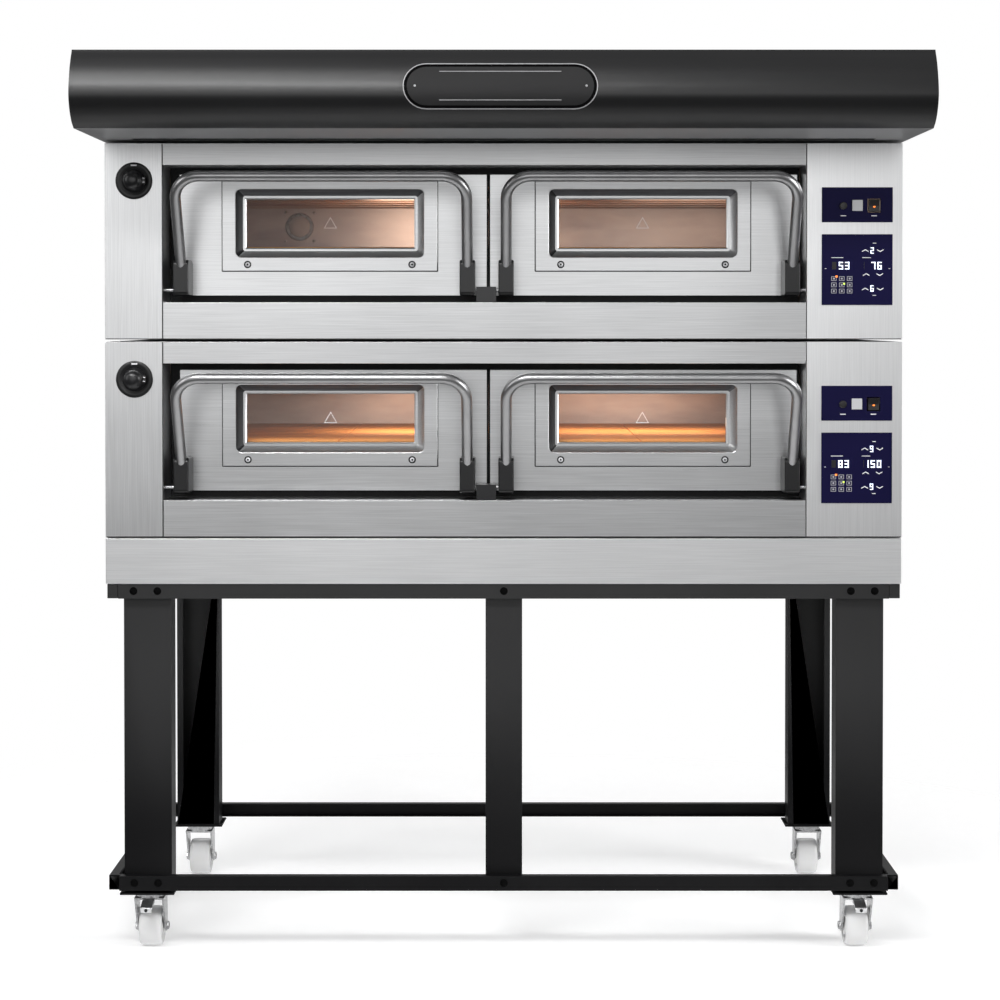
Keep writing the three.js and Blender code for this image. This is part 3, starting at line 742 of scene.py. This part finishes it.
def hood_sheet(mesh):
    heights = [HOOD_BOTTOM + (HOOD_TOP - HOOD_BOTTOM) * i / HOOD_ROWS for i in range(HOOD_ROWS + 1)]
    outline = [(hood_y(z), z) for z in heights]
    outline += [(hood_y(z) + SHEET_THICKNESS, z) for z in reversed(heights)]
    rings = [[mesh.verts.new((x, y, z)) for y, z in outline] for x in (-HOOD_HALF_WIDTH, HOOD_HALF_WIDTH)]
    count = len(outline)
    for i in range(count):
        j = (i + 1) % count
        mesh.faces.new((rings[0][i], rings[1][i], rings[1][j], rings[0][j]))
    for ring in rings:
        for i in range(HOOD_ROWS):
            mesh.faces.new((ring[i], ring[i + 1], ring[count - 2 - i], ring[count - 1 - i]))


piece_from("hood_front_finished", hood_sheet, "frame", hood_black, 0.0, 1, math.radians(30), "hood_front")
print("hood front rolled")

# %% [markdown]
# ## The badge
# A badge sits in a stadium-shaped groove in the middle of the hood. Here it is left plain. The groove is not
# cut: a black layer of painted shade stands for it, and the pale outline round it is a painted highlight on
# its pressed lip. Each layer is a stadium laid on the rolled sheet, row by row, so that it bends with it.

# %% Badge
BADGE_CENTRE = (-0.006, 1.716)
BADGE_ROWS = 17


def stadium(half_length, radius, proud, centre=BADGE_CENTRE):
    def build(mesh):
        fronts, backs = [], []
        for i in range(BADGE_ROWS):
            angle = math.radians(-90 + 180 * i / (BADGE_ROWS - 1))
            z = centre[1] + radius * math.sin(angle)
            reach = half_length - radius + radius * math.cos(angle)
            fronts.append([mesh.verts.new((centre[0] + s * reach, hood_y(z) - proud, z)) for s in (-1, 1)])
            backs.append([mesh.verts.new((centre[0] + s * reach, hood_y(z) + 0.0004, z)) for s in (-1, 1)])
        for i in range(BADGE_ROWS - 1):
            mesh.faces.new((fronts[i][0], fronts[i][1], fronts[i + 1][1], fronts[i + 1][0]))
            mesh.faces.new((backs[i][0], backs[i + 1][0], backs[i + 1][1], backs[i][1]))
            for s in (0, 1):
                mesh.faces.new((fronts[i][s], fronts[i + 1][s], backs[i + 1][s], backs[i][s]))
        mesh.faces.new((fronts[0][0], fronts[0][1], backs[0][1], backs[0][0]))
        mesh.faces.new((fronts[-1][0], fronts[-1][1], backs[-1][1], backs[-1][0]))
    return build


# The outline is a painted highlight and the groove is painted shade.
for name, half_length, radius, proud, coat in (
    ("badge_outline_painted_highlight", 0.1815, 0.0432, 0.0004, badge_trim_and_highlight),
    ("badge_groove_painted_shade", 0.1797, 0.0414, 0.0006, deep_black),
    ("badge_plate", 0.1740, 0.0362, 0.0011, badge_face),
):
    piece_from(name, stadium(half_length, radius, proud), "frame", coat)
for name, x in (("badge_pin_left", -0.165), ("badge_pin_right", 0.154)):
    piece_from(name, stadium(0.0022, 0.0021, 0.0018, (x, BADGE_CENTRE[1])), "frame", badge_trim_and_highlight)
for name, z in (("badge_line_high", 1.7435), ("badge_line_low", 1.6895)):
    piece_from(name, lambda mesh: add_box(
        mesh, (-0.1195, hood_y(z) - 0.0014, z - 0.0006), (0.1075, hood_y(z), z + 0.0006)),
        "frame", badge_trim_and_highlight)
print("badge laid on the hood")

# %% [markdown]
# ## Bolts and screws with Geometry Nodes
# The same domed head sits in many places, so one Geometry Nodes tree makes them all.
# A mesh of loose points says where the heads go, and the tree puts a head at each point.
# Realize Instances turns them into real faces at the end, and the result is kept as a plain mesh.

# %% Fastener tree
def fastener_tree():
    tree = bpy.data.node_groups.new("fasteners", "GeometryNodeTree")
    face = tree.interface
    face.new_socket("Places", in_out="INPUT", socket_type="NodeSocketGeometry")
    for label, size in (("Head radius", 0.006), ("Head height", 0.003), ("Washer radius", 0.008)):
        socket = face.new_socket(label, in_out="INPUT", socket_type="NodeSocketFloat")
        socket.default_value = size
    face.new_socket("Finish", in_out="INPUT", socket_type="NodeSocketMaterial")
    face.new_socket("Heads", in_out="OUTPUT", socket_type="NodeSocketGeometry")
    nodes, links = tree.nodes, tree.links
    given = nodes.new("NodeGroupInput")
    made = nodes.new("NodeGroupOutput")
    dome = nodes.new("GeometryNodeMeshUVSphere")
    dome.inputs["Segments"].default_value = 16
    dome.inputs["Rings"].default_value = 8
    links.new(given.outputs["Head radius"], dome.inputs["Radius"])
    flat = nodes.new("GeometryNodeTransform")
    ratio = nodes.new("ShaderNodeMath")
    ratio.operation = "DIVIDE"
    links.new(given.outputs["Head height"], ratio.inputs[0])
    links.new(given.outputs["Head radius"], ratio.inputs[1])
    scale = nodes.new("ShaderNodeCombineXYZ")
    scale.inputs[0].default_value = 1.0
    scale.inputs[1].default_value = 1.0
    links.new(ratio.outputs[0], scale.inputs[2])
    links.new(dome.outputs["Mesh"], flat.inputs["Geometry"])
    links.new(scale.outputs[0], flat.inputs["Scale"])
    washer = nodes.new("GeometryNodeMeshCylinder")
    washer.inputs["Vertices"].default_value = 20
    washer.inputs["Depth"].default_value = 0.0016
    links.new(given.outputs["Washer radius"], washer.inputs["Radius"])
    both = nodes.new("GeometryNodeJoinGeometry")
    links.new(flat.outputs["Geometry"], both.inputs["Geometry"])
    links.new(washer.outputs["Mesh"], both.inputs["Geometry"])
    spread = nodes.new("GeometryNodeInstanceOnPoints")
    spread.inputs["Rotation"].default_value = (math.radians(90), 0.0, 0.0)
    links.new(given.outputs["Places"], spread.inputs["Points"])
    links.new(both.outputs["Geometry"], spread.inputs["Instance"])
    real = nodes.new("GeometryNodeRealizeInstances")
    links.new(spread.outputs["Instances"], real.inputs["Geometry"])
    coat = nodes.new("GeometryNodeSetMaterial")
    links.new(real.outputs["Geometry"], coat.inputs["Geometry"])
    links.new(given.outputs["Finish"], coat.inputs["Material"])
    links.new(coat.outputs["Geometry"], made.inputs["Heads"])
    return tree


FASTENERS = fastener_tree()
print("fastener tree has", len(FASTENERS.nodes), "nodes")

# %% [markdown]
# ## Placing the heads
# A helper gives the tree its points and sizes. The same heads make the stand's bolts and, with three sizes
# one on another, a window screw: a dark seat of painted shade round the head, a bright dome whose white is a
# painted highlight on the steel, and the dark hole of its socket, which is painted shade.

# %% Bolts and screws
def fasteners(name, places, body, material, radius, height, washer):
    data = bpy.data.meshes.new(name + "_places")
    data.from_pydata([tuple(place) for place in places], [], [])
    holder = bpy.data.objects.new(name + "_places", data)
    bpy.context.scene.collection.objects.link(holder)
    maker = holder.modifiers.new("heads", "NODES")
    maker.node_group = FASTENERS
    sizes = {"Head radius": radius, "Head height": height, "Washer radius": washer, "Finish": material}
    for item in FASTENERS.interface.items_tree:
        if item.item_type == "SOCKET" and item.in_out == "INPUT" and item.name in sizes:
            maker[item.identifier] = sizes[item.name]
    bpy.context.view_layer.update()
    made = bpy.data.meshes.new_from_object(holder.evaluated_get(bpy.context.evaluated_depsgraph_get()))
    bpy.data.objects.remove(holder)
    piece = bpy.data.objects.new(name, made)
    bpy.context.scene.collection.objects.link(piece)
    return finish_piece(piece, body, material)


PLUG_START = 0.7765
BOLT_HEIGHTS = (0.7355, 0.1455)
rail_low, rail_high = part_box("stand_top_frame")
for side, start, stop in (("left", rail_low.x, -PLUG_START), ("right", PLUG_START, rail_high.x)):
    piece_from(f"stand_rail_plug_{side}", lambda mesh: add_box(
        mesh, (start, rail_low.y + 0.001, rail_low.z + 0.0005),
        (stop, rail_low.y + 0.0112, rail_high.z - 0.0005)), "frame", stand_black, 0.0012)
rail_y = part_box("stand_lower_frame")[0].y
bolt_places = [(x, rail_y, z) for z in BOLT_HEIGHTS for x in (-0.745, -0.697, 0.699, 0.747)]
bolt_places += [(0.0005, rail_y, z) for z in BOLT_HEIGHTS]
fasteners("stand_bolts", bolt_places, "frame", deep_black, 0.0072, 0.0038, 0.0078)
for deck in DECKS:
    for side in SIDES:
        door = f"{deck}_{side}"
        low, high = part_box(f"{door}_window_frame")
        middle = (low.x + high.x) / 2
        places = [(middle + s * 0.1675, low.y, deck_base(deck) + 0.1530) for s in (-1, 1)]
        # The dark seat and socket are painted shade, and the white dome is a painted highlight on the steel
        # head.
        sockets = [(x, y - 0.0021, z) for x, y, z in places]
        fasteners(f"{door}_screw_seats", places, f"{door}_door", black_rubber_and_shade, 0.0060, 0.0010, 0.0076)
        fasteners(f"{door}_window_screws", places, f"{door}_door", white_print_and_highlight, 0.0052, 0.0022, 0.0030)
        fasteners(f"{door}_screw_sockets", sockets, f"{door}_door", black_rubber_and_shade, 0.0020, 0.0004, 0.0018)
print("bolts and screws placed")

# %% [markdown]
# ## Turned shapes
# Wheels, knobs and dial plates are turned, so each is a profile spun about its axle.
# A profile is a short list of radius and distance along the axle.

# %% Turned shapes
def spun(profile, centre, axis="x", steps=48):
    def build(mesh):
        rings = []
        for i in range(steps):
            angle = 2 * math.pi * i / steps
            ring = []
            for radius, along in profile:
                a, b = radius * math.cos(angle), radius * math.sin(angle)
                if axis == "x":
                    place = (centre[0] + along, centre[1] + a, centre[2] + b)
                else:
                    place = (centre[0] + a, centre[1] + along, centre[2] + b)
                ring.append(mesh.verts.new(place))
            rings.append(ring)
        count = len(profile)
        for i in range(steps):
            following = rings[(i + 1) % steps]
            for j in range(count - 1):
                mesh.faces.new((rings[i][j], rings[i][j + 1], following[j + 1], following[j]))
        bmesh.ops.remove_doubles(mesh, verts=mesh.verts, dist=0.000005)
    return build


print("turning helper ready")

# %% [markdown]
# ## Castors
# A castor wheel has a rounded tread, a shallow dish and a hub, and the same shape on both faces,
# so half of its profile is written down and the other half is its mirror image.
# The fork above it is pressed steel, with a six-sided nut on each side of the axle.

# %% Castor wheels and forks
NUT_RADIUS = 0.009
NUT_HEIGHT = 0.005
for end in ("front", "rear"):
    for side in SIDES:
        node = f"castor_wheel_{end}_{side}"
        low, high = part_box(node)
        middle = (low + high) / 2
        half = (high.x - low.x) / 2
        wheel_profile = [
            (0.0065, -half), (0.017, -half), (0.018, -half + 0.002), (0.018, -half + 0.005),
            (0.029, -half + 0.006), (0.031, -half + 0.002), (0.033, -half), (0.0355, -half),
            (0.0380, -half + 0.002), (0.0393, -half + 0.006), (0.0399, -half + 0.012),
        ]
        wheel_profile += [(radius, -along) for radius, along in reversed(wheel_profile)] + wheel_profile[:1]
        piece_from(node + "_turned", spun(wheel_profile, middle), f"wheel_{end}_{side}", nylon,
                   smooth=math.radians(40), node=node)
        rounded_copy(f"castor_fork_{end}_{side}", zinc, 0.001)
        fork_low, fork_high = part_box(f"castor_fork_{end}_{side}")

        def nuts(mesh):
            for x, inward in ((fork_low.x, NUT_HEIGHT), (fork_high.x, -NUT_HEIGHT)):
                rings = []
                for face_x in (x, x + inward):
                    rings.append([mesh.verts.new((
                        face_x, middle.y + NUT_RADIUS * math.cos(k * math.pi / 3),
                        middle.z + NUT_RADIUS * math.sin(k * math.pi / 3))) for k in range(6)])
                add_prism(mesh, *rings)

        piece_from(f"castor_nuts_{end}_{side}", nuts, f"swivel_{end}_{side}", zinc, 0.0006)
print("castors finished")

# %% [markdown]
# ## Brake pedals
# The pedal on each front castor is a pressed plate with a short lip turned down at its front edge,
# held by one small dark bolt.

# %% Brake pedals
for side in SIDES:
    rounded_copy(f"castor_brake_{side}", zinc_bright, 0.0012)
    low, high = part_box(f"castor_brake_{side}")
    piece_from(f"castor_brake_lip_{side}", lambda mesh: add_box(
        mesh, (low.x + 0.001, low.y, low.z - 0.006), (high.x - 0.001, low.y + 0.0022, low.z + 0.0035)),
        f"brake_{side}", zinc_bright, 0.0008)
    fasteners(f"castor_brake_bolt_{side}", [((low.x + high.x) / 2, low.y + 0.0002, low.z - 0.0012)],
              f"brake_{side}", black_rubber_and_shade, 0.0030, 0.0016, 0.0034)
print("brake pedals finished")

# %% [markdown]
# ## Knobs
# Each knob is a turned cap on a wide dark dial plate. A short lever shows where it points,
# so the lever and its two white marks turn with the cap while the dial plate stays on the pillar.

# %% Knobs
for deck in DECKS:
    node = f"{deck}_knob"
    low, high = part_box(node)
    x, z = (low.x + high.x) / 2, (low.z + high.z) / 2
    face = FRONT_Y
    plate = [(0.0, -0.0002), (0.037, -0.0002), (0.037, -0.0022), (0.0355, -0.0034),
             (0.029, -0.0034), (0.0275, -0.0026), (0.0, -0.0026)]
    piece_from(f"{deck}_dial_plate", spun(plate, (x, face, z), "y", 64), "frame", rim_grey,
               smooth=math.radians(40))
    cap = [(0.0, -0.0030), (0.0235, -0.0030), (0.0230, -0.0080), (0.0200, -0.0120),
           (0.0190, -0.0195), (0.0186, -0.0225), (0.0172, -0.0262), (0.0148, -0.0294),
           (0.0115, -0.0318), (0.0075, -0.0332), (0.0035, -0.0337), (0.0, -0.0338)]
    piece_from(f"{deck}_knob_cap", spun(cap, (x, face, z), "y", 56), f"{deck}_knob", plastic_black,
               smooth=math.radians(40), node=node)
    piece_from(f"{deck}_knob_mark_top", lambda mesh: add_box(
        mesh, (x - 0.006, face - 0.0039, z + 0.0295), (x + 0.006, face - 0.0030, z + 0.0322)),
        "frame", white_print_and_highlight)

    def side_marks(mesh):
        for rise in (-0.0045, 0.0035):
            add_box(mesh, (x + 0.0195, face - 0.0180, z + rise),
                    (x + 0.0240, face - 0.0165, z + rise + 0.0016))

    def lever(mesh):
        add_box(mesh, (x + 0.012, face - 0.0168, z - 0.0075), (x + 0.0245, face - 0.0050, z + 0.0075))

    piece_from(f"{deck}_knob_lever", lever, f"{deck}_knob", plastic_black, 0.002, 3)
    piece_from(f"{deck}_knob_marks", side_marks, f"{deck}_knob", white_print_and_highlight)
print("knobs made")

# %% [markdown]
# ## Control panels
# The panels are dark film with printed marks and lit digits.
# Seven bars make any digit, so a digit is only a list of which bars are lit.

# %% Digits and marks
LIT = {"0": "abcdef", "1": "bc", "2": "abged", "3": "abgcd", "4": "fgbc", "5": "afgcd", "6": "afgedc",
       "7": "abc", "8": "abcdefg", "9": "abcdfg"}
FACE = FRONT_Y - 0.003
PRINT_HEIGHT = 0.0003
LAMP_HEIGHT = 0.0005


def raised(mesh, points, proud=PRINT_HEIGHT):
    add_prism(mesh, *[[mesh.verts.new((x, y, z)) for x, z in points] for y in (FACE - proud, FACE + 0.0001)])


def bar(mesh, x0, x1, z0, z1, proud=PRINT_HEIGHT):
    raised(mesh, ((x0, z0), (x1, z0), (x1, z1), (x0, z1)), proud)


def digit(mesh, figure, x, z, wide, tall):
    t = wide * 0.26
    half = tall / 2
    spans = {"a": (0, wide, tall - t, tall), "g": (0, wide, half - t / 2, half + t / 2), "d": (0, wide, 0, t),
             "f": (0, t, half, tall), "b": (wide - t, wide, half, tall), "e": (0, t, 0, half),
             "c": (wide - t, wide, 0, half)}
    for part in LIT[figure]:
        x0, x1, z0, z1 = spans[part]
        bar(mesh, x + x0, x + x1, z + z0, z + z1)


def chevron(mesh, x, z, size, up):
    thick = size * 0.28
    rise = size * 0.55 if up else -size * 0.55
    for s in (-1, 1):
        raised(mesh, ((x, z + rise / 2), (x, z + rise / 2 - thick), (x + s * size, z - rise / 2 - thick),
                      (x + s * size, z - rise / 2)))


print("digit and mark helpers ready")

# %% [markdown]
# ## Printing the panels
# Each display has a small digit above and below, two readings in the middle, and three pairs of arrows.
# All places are measured from the display's left and top edges, so the print follows the panel.

# %% Control panels
READINGS = {"upper": ("2", "53", "76", "6"), "lower": ("9", "83", "150", "9")}
DIGIT_PITCH = 0.0125
READING_DROP = 0.0705
for deck in DECKS:
    low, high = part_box(f"{deck}_display_panel")
    left, top = low.x, high.z
    first, second, third, last = READINGS[deck]

    def lit(mesh):
        for figure, drop in ((first, 0.039), (last, 0.115)):
            digit(mesh, figure, left + 0.0975, top - drop, 0.0065, 0.0125)
        for reading, start in ((second, 0.034), (third, 0.124 - DIGIT_PITCH * len(third))):
            for i, figure in enumerate(reading):
                digit(mesh, figure, left + start + i * DIGIT_PITCH, top - READING_DROP, 0.0085, 0.0150)

    def printed(mesh):
        for up_x, down_x, z in ((0.087, 0.117, 0.032), (0.089, 0.116, 0.080), (0.087, 0.117, 0.109)):
            chevron(mesh, left + up_x, top - z, 0.0065, True)
            chevron(mesh, left + down_x, top - z, 0.0065, False)
        for x, z, wide in ((0.102, 0.018, 0.007), (0.019, 0.047, 0.024),
                           (0.081, 0.047, 0.017), (0.102, 0.1225, 0.007)):
            bar(mesh, left + x, left + x + wide, top - z - 0.0006, top - z + 0.0006)
        for x in (0.006, 0.134):
            bar(mesh, left + x, left + x + 0.003, top - 0.0695, top - 0.0685)

    def icons(mesh):
        for column in range(3):
            for row in range(3):
                x = left + 0.019 + column * 0.0158
                z = top - 0.0845 - row * 0.0125
                bar(mesh, x, x + 0.0105, z - 0.0090, z - 0.0080)
                bar(mesh, x, x + 0.0105, z - 0.0010, z)
                bar(mesh, x, x + 0.0010, z - 0.0080, z - 0.0010)
                bar(mesh, x + 0.0095, x + 0.0105, z - 0.0080, z - 0.0010)
                bar(mesh, x + 0.0035, x + 0.0070, z - 0.0062, z - 0.0028)

    def dim(mesh):
        for x0, x1 in ((0.0205, 0.0290), (0.0845, 0.0855)):
            bar(mesh, left + x0, left + x1, top - READING_DROP, top - 0.0555)

    piece_from(f"{deck}_digits", lit, "frame", lit_white)
    piece_from(f"{deck}_arrows", printed, "frame", white_print_and_highlight)
    piece_from(f"{deck}_icons", icons, "frame", mark_grey)
    piece_from(f"{deck}_dim_segments", dim, "frame", rim_grey)
    piece_from(f"{deck}_light_orange", lambda mesh: bar(
        mesh, left + 0.0275, left + 0.0315, top - 0.0865, top - 0.0830, LAMP_HEIGHT), "frame", lit_orange)
    piece_from(f"{deck}_light_green", lambda mesh: bar(
        mesh, left + 0.0430, left + 0.0465, top - 0.1010, top - 0.0975, LAMP_HEIGHT), "frame", lit_green)

    base = deck_base(deck)
    button = [(0.0, 0.0001), (0.0075, 0.0001), (0.0075, -0.0020), (0.0062, -0.0032), (0.0, -0.0036)]
    piece_from(f"{deck}_round_cap", spun(button, (0.681, FACE, base + 0.269), "y", 32),
               "frame", plastic_black)
    piece_from(f"{deck}_square_cover", lambda mesh: add_box(
        mesh, (0.6985, FACE - 0.0016, base + 0.2585), (0.7195, FACE + 0.0001, base + 0.2805)),
        "frame", switch_grey, 0.0008)
    piece_from(f"{deck}_switch_marks", lambda mesh: [
        bar(mesh, x - 0.0055, x + 0.0055, base + 0.2480, base + 0.2498) for x in (0.681, 0.7425)],
        "frame", white_print_and_highlight)
    piece_from(f"{deck}_rocker_lamp", lambda mesh: add_box(
        mesh, (0.7405, FRONT_Y - 0.0060, base + 0.2655), (0.7448, FRONT_Y - 0.0030, base + 0.2682)),
        f"{deck}_rocker", lit_orange, 0.0006)
print("control panels printed")

# %% [markdown]
# ## Inside the chambers
# Seven straight heating bars run across under each chamber's roof.
# The tube helper that made the door bars makes them too.

# %% Heating bars
HEATERS = 7
HEATER_START, HEATER_END = -0.62, 0.56
for deck in DECKS:
    for i in range(HEATERS):
        y = FRONT_Y + 0.20 + i * 0.1
        z = deck_base(deck) + 0.3075
        points = [(HEATER_START + (HEATER_END - HEATER_START) * k / 6, y, z) for k in range(7)]
        tube_along(f"{deck}_heater_{i}", points, 0.005, "frame", chamber_steel, None, 3)
print("heating bars:", HEATERS * len(DECKS))

# %% [markdown]
# ## The chamber lamp's cover
# A turned rim with a frosted lens is screwed to the back wall of the upper chamber.
# It only shows where the lamp is, and gives off no light itself.

# %% Lamp cover
SCREW_OFFSET = 0.034
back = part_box("upper_stone")[1].y
middle = (-0.488, back, deck_base("upper") + 0.263)
cover = [(0.0, -0.0005), (0.0335, -0.0005), (0.0335, -0.004), (0.0315, -0.006), (0.028, -0.006),
         (0.0265, -0.0045), (0.0, -0.0045)]
piece_from("upper_lamp_cover", spun(cover, middle, "y", 40), "frame", zinc, smooth=math.radians(40))
lens = [(0.0, -0.0047), (0.025, -0.0047), (0.021, -0.008), (0.011, -0.010), (0.0, -0.0105)]
piece_from("upper_lamp_lens", spun(lens, middle, "y", 32), "frame", mark_grey, smooth=math.radians(50))
screws = [(middle[0] + a * SCREW_OFFSET, back - 0.0002, middle[2] + b * SCREW_OFFSET)
          for a in (-1, 1) for b in (-1, 1)]
fasteners("upper_lamp_screws", screws, "frame", zinc, 0.0035, 0.0020, 0.0042)
print("lamp cover made")

# %% [markdown]
# ## Light inside the chambers
# Soft warm lamps under the roof of each steel box are what lights the stone and the walls.
# Each row gives a lamp's place across the oven, its depth, the depth that it aims at, and its power in watts.

# %% Chamber lamps
GLOW_COLOUR = (1.0, 0.74, 0.55)
GLOW_SIZE = (0.34, 0.16)
GLOW_HEIGHT, GLOW_TARGET = 0.296, 0.16
GLOWS = {
    "lower": ((-0.16, 0.50, 0.52, 1.1), (0.30, 0.50, 0.52, 1.0),
              (-0.35, 0.12, 0.60, 0.4), (0.30, 0.12, 0.60, 0.4)),
    "upper": ((-0.12, 0.40, 0.66, 1.7), (0.45, 0.40, 0.66, 0.5)),
}
for deck in DECKS:
    base = deck_base(deck)
    for count, (x, depth, aim_depth, power) in enumerate(GLOWS[deck]):
        place = (x, FRONT_Y + depth, base + GLOW_HEIGHT)
        target = (x, FRONT_Y + aim_depth, base + GLOW_TARGET)
        soft_lamp(f"glow_{deck}_{count}", place, target, GLOW_SIZE, power, GLOW_COLOUR)
print("chambers lit")

# %% [markdown]
# ## Floor and finish
# A large pale floor carries the soft shadow. It fades into the white behind it within a couple of metres.

# %% Floor
FADE_START, FADE_END = 0.95, 2.2
FLOOR_HALF = 30
floor_material, floor_tree, floor_shader = new_finish("studio_floor")
floor_colour = ramp(floor_tree, noise(floor_tree, 1.5), (0.86, 0.86, 0.86), (0.90, 0.90, 0.90))
floor_tree.links.new(floor_colour, floor_shader.inputs["Base Color"])
floor_shader.inputs["Roughness"].default_value = 0.8
floor_shader.inputs["Emission Color"].default_value = (1.0, 1.0, 1.0, 1.0)
floor_shader.inputs["Emission Strength"].default_value = 0.22
reach = floor_tree.nodes.new("ShaderNodeTexCoord")
distance = floor_tree.nodes.new("ShaderNodeVectorMath")
distance.operation = "LENGTH"
floor_tree.links.new(reach.outputs["Object"], distance.inputs[0])
fade = floor_tree.nodes.new("ShaderNodeMapRange")
fade.interpolation_type = "SMOOTHSTEP"
fade.inputs["From Min"].default_value = FADE_START
fade.inputs["From Max"].default_value = FADE_END
floor_tree.links.new(distance.outputs["Value"], fade.inputs["Value"])
clear = floor_tree.nodes.new("ShaderNodeBsdfTransparent")
blend = floor_tree.nodes.new("ShaderNodeMixShader")
floor_tree.links.new(fade.outputs["Result"], blend.inputs["Fac"])
floor_tree.links.new(floor_shader.outputs["BSDF"], blend.inputs[1])
floor_tree.links.new(clear.outputs["BSDF"], blend.inputs[2])
floor_tree.links.new(blend.outputs["Shader"], floor_tree.nodes["Material Output"].inputs["Surface"])
floor_data = bpy.data.meshes.new("floor")
corners = [(x * FLOOR_HALF, y * FLOOR_HALF, 0) for x, y in ((-1, -1), (1, -1), (1, 1), (-1, 1))]
floor_data.from_pydata(corners, [], [(0, 1, 2, 3)])
floor = bpy.data.objects.new("floor", floor_data)
bpy.context.scene.collection.objects.link(floor)
floor_data.materials.append(floor_material)
print("floor laid")
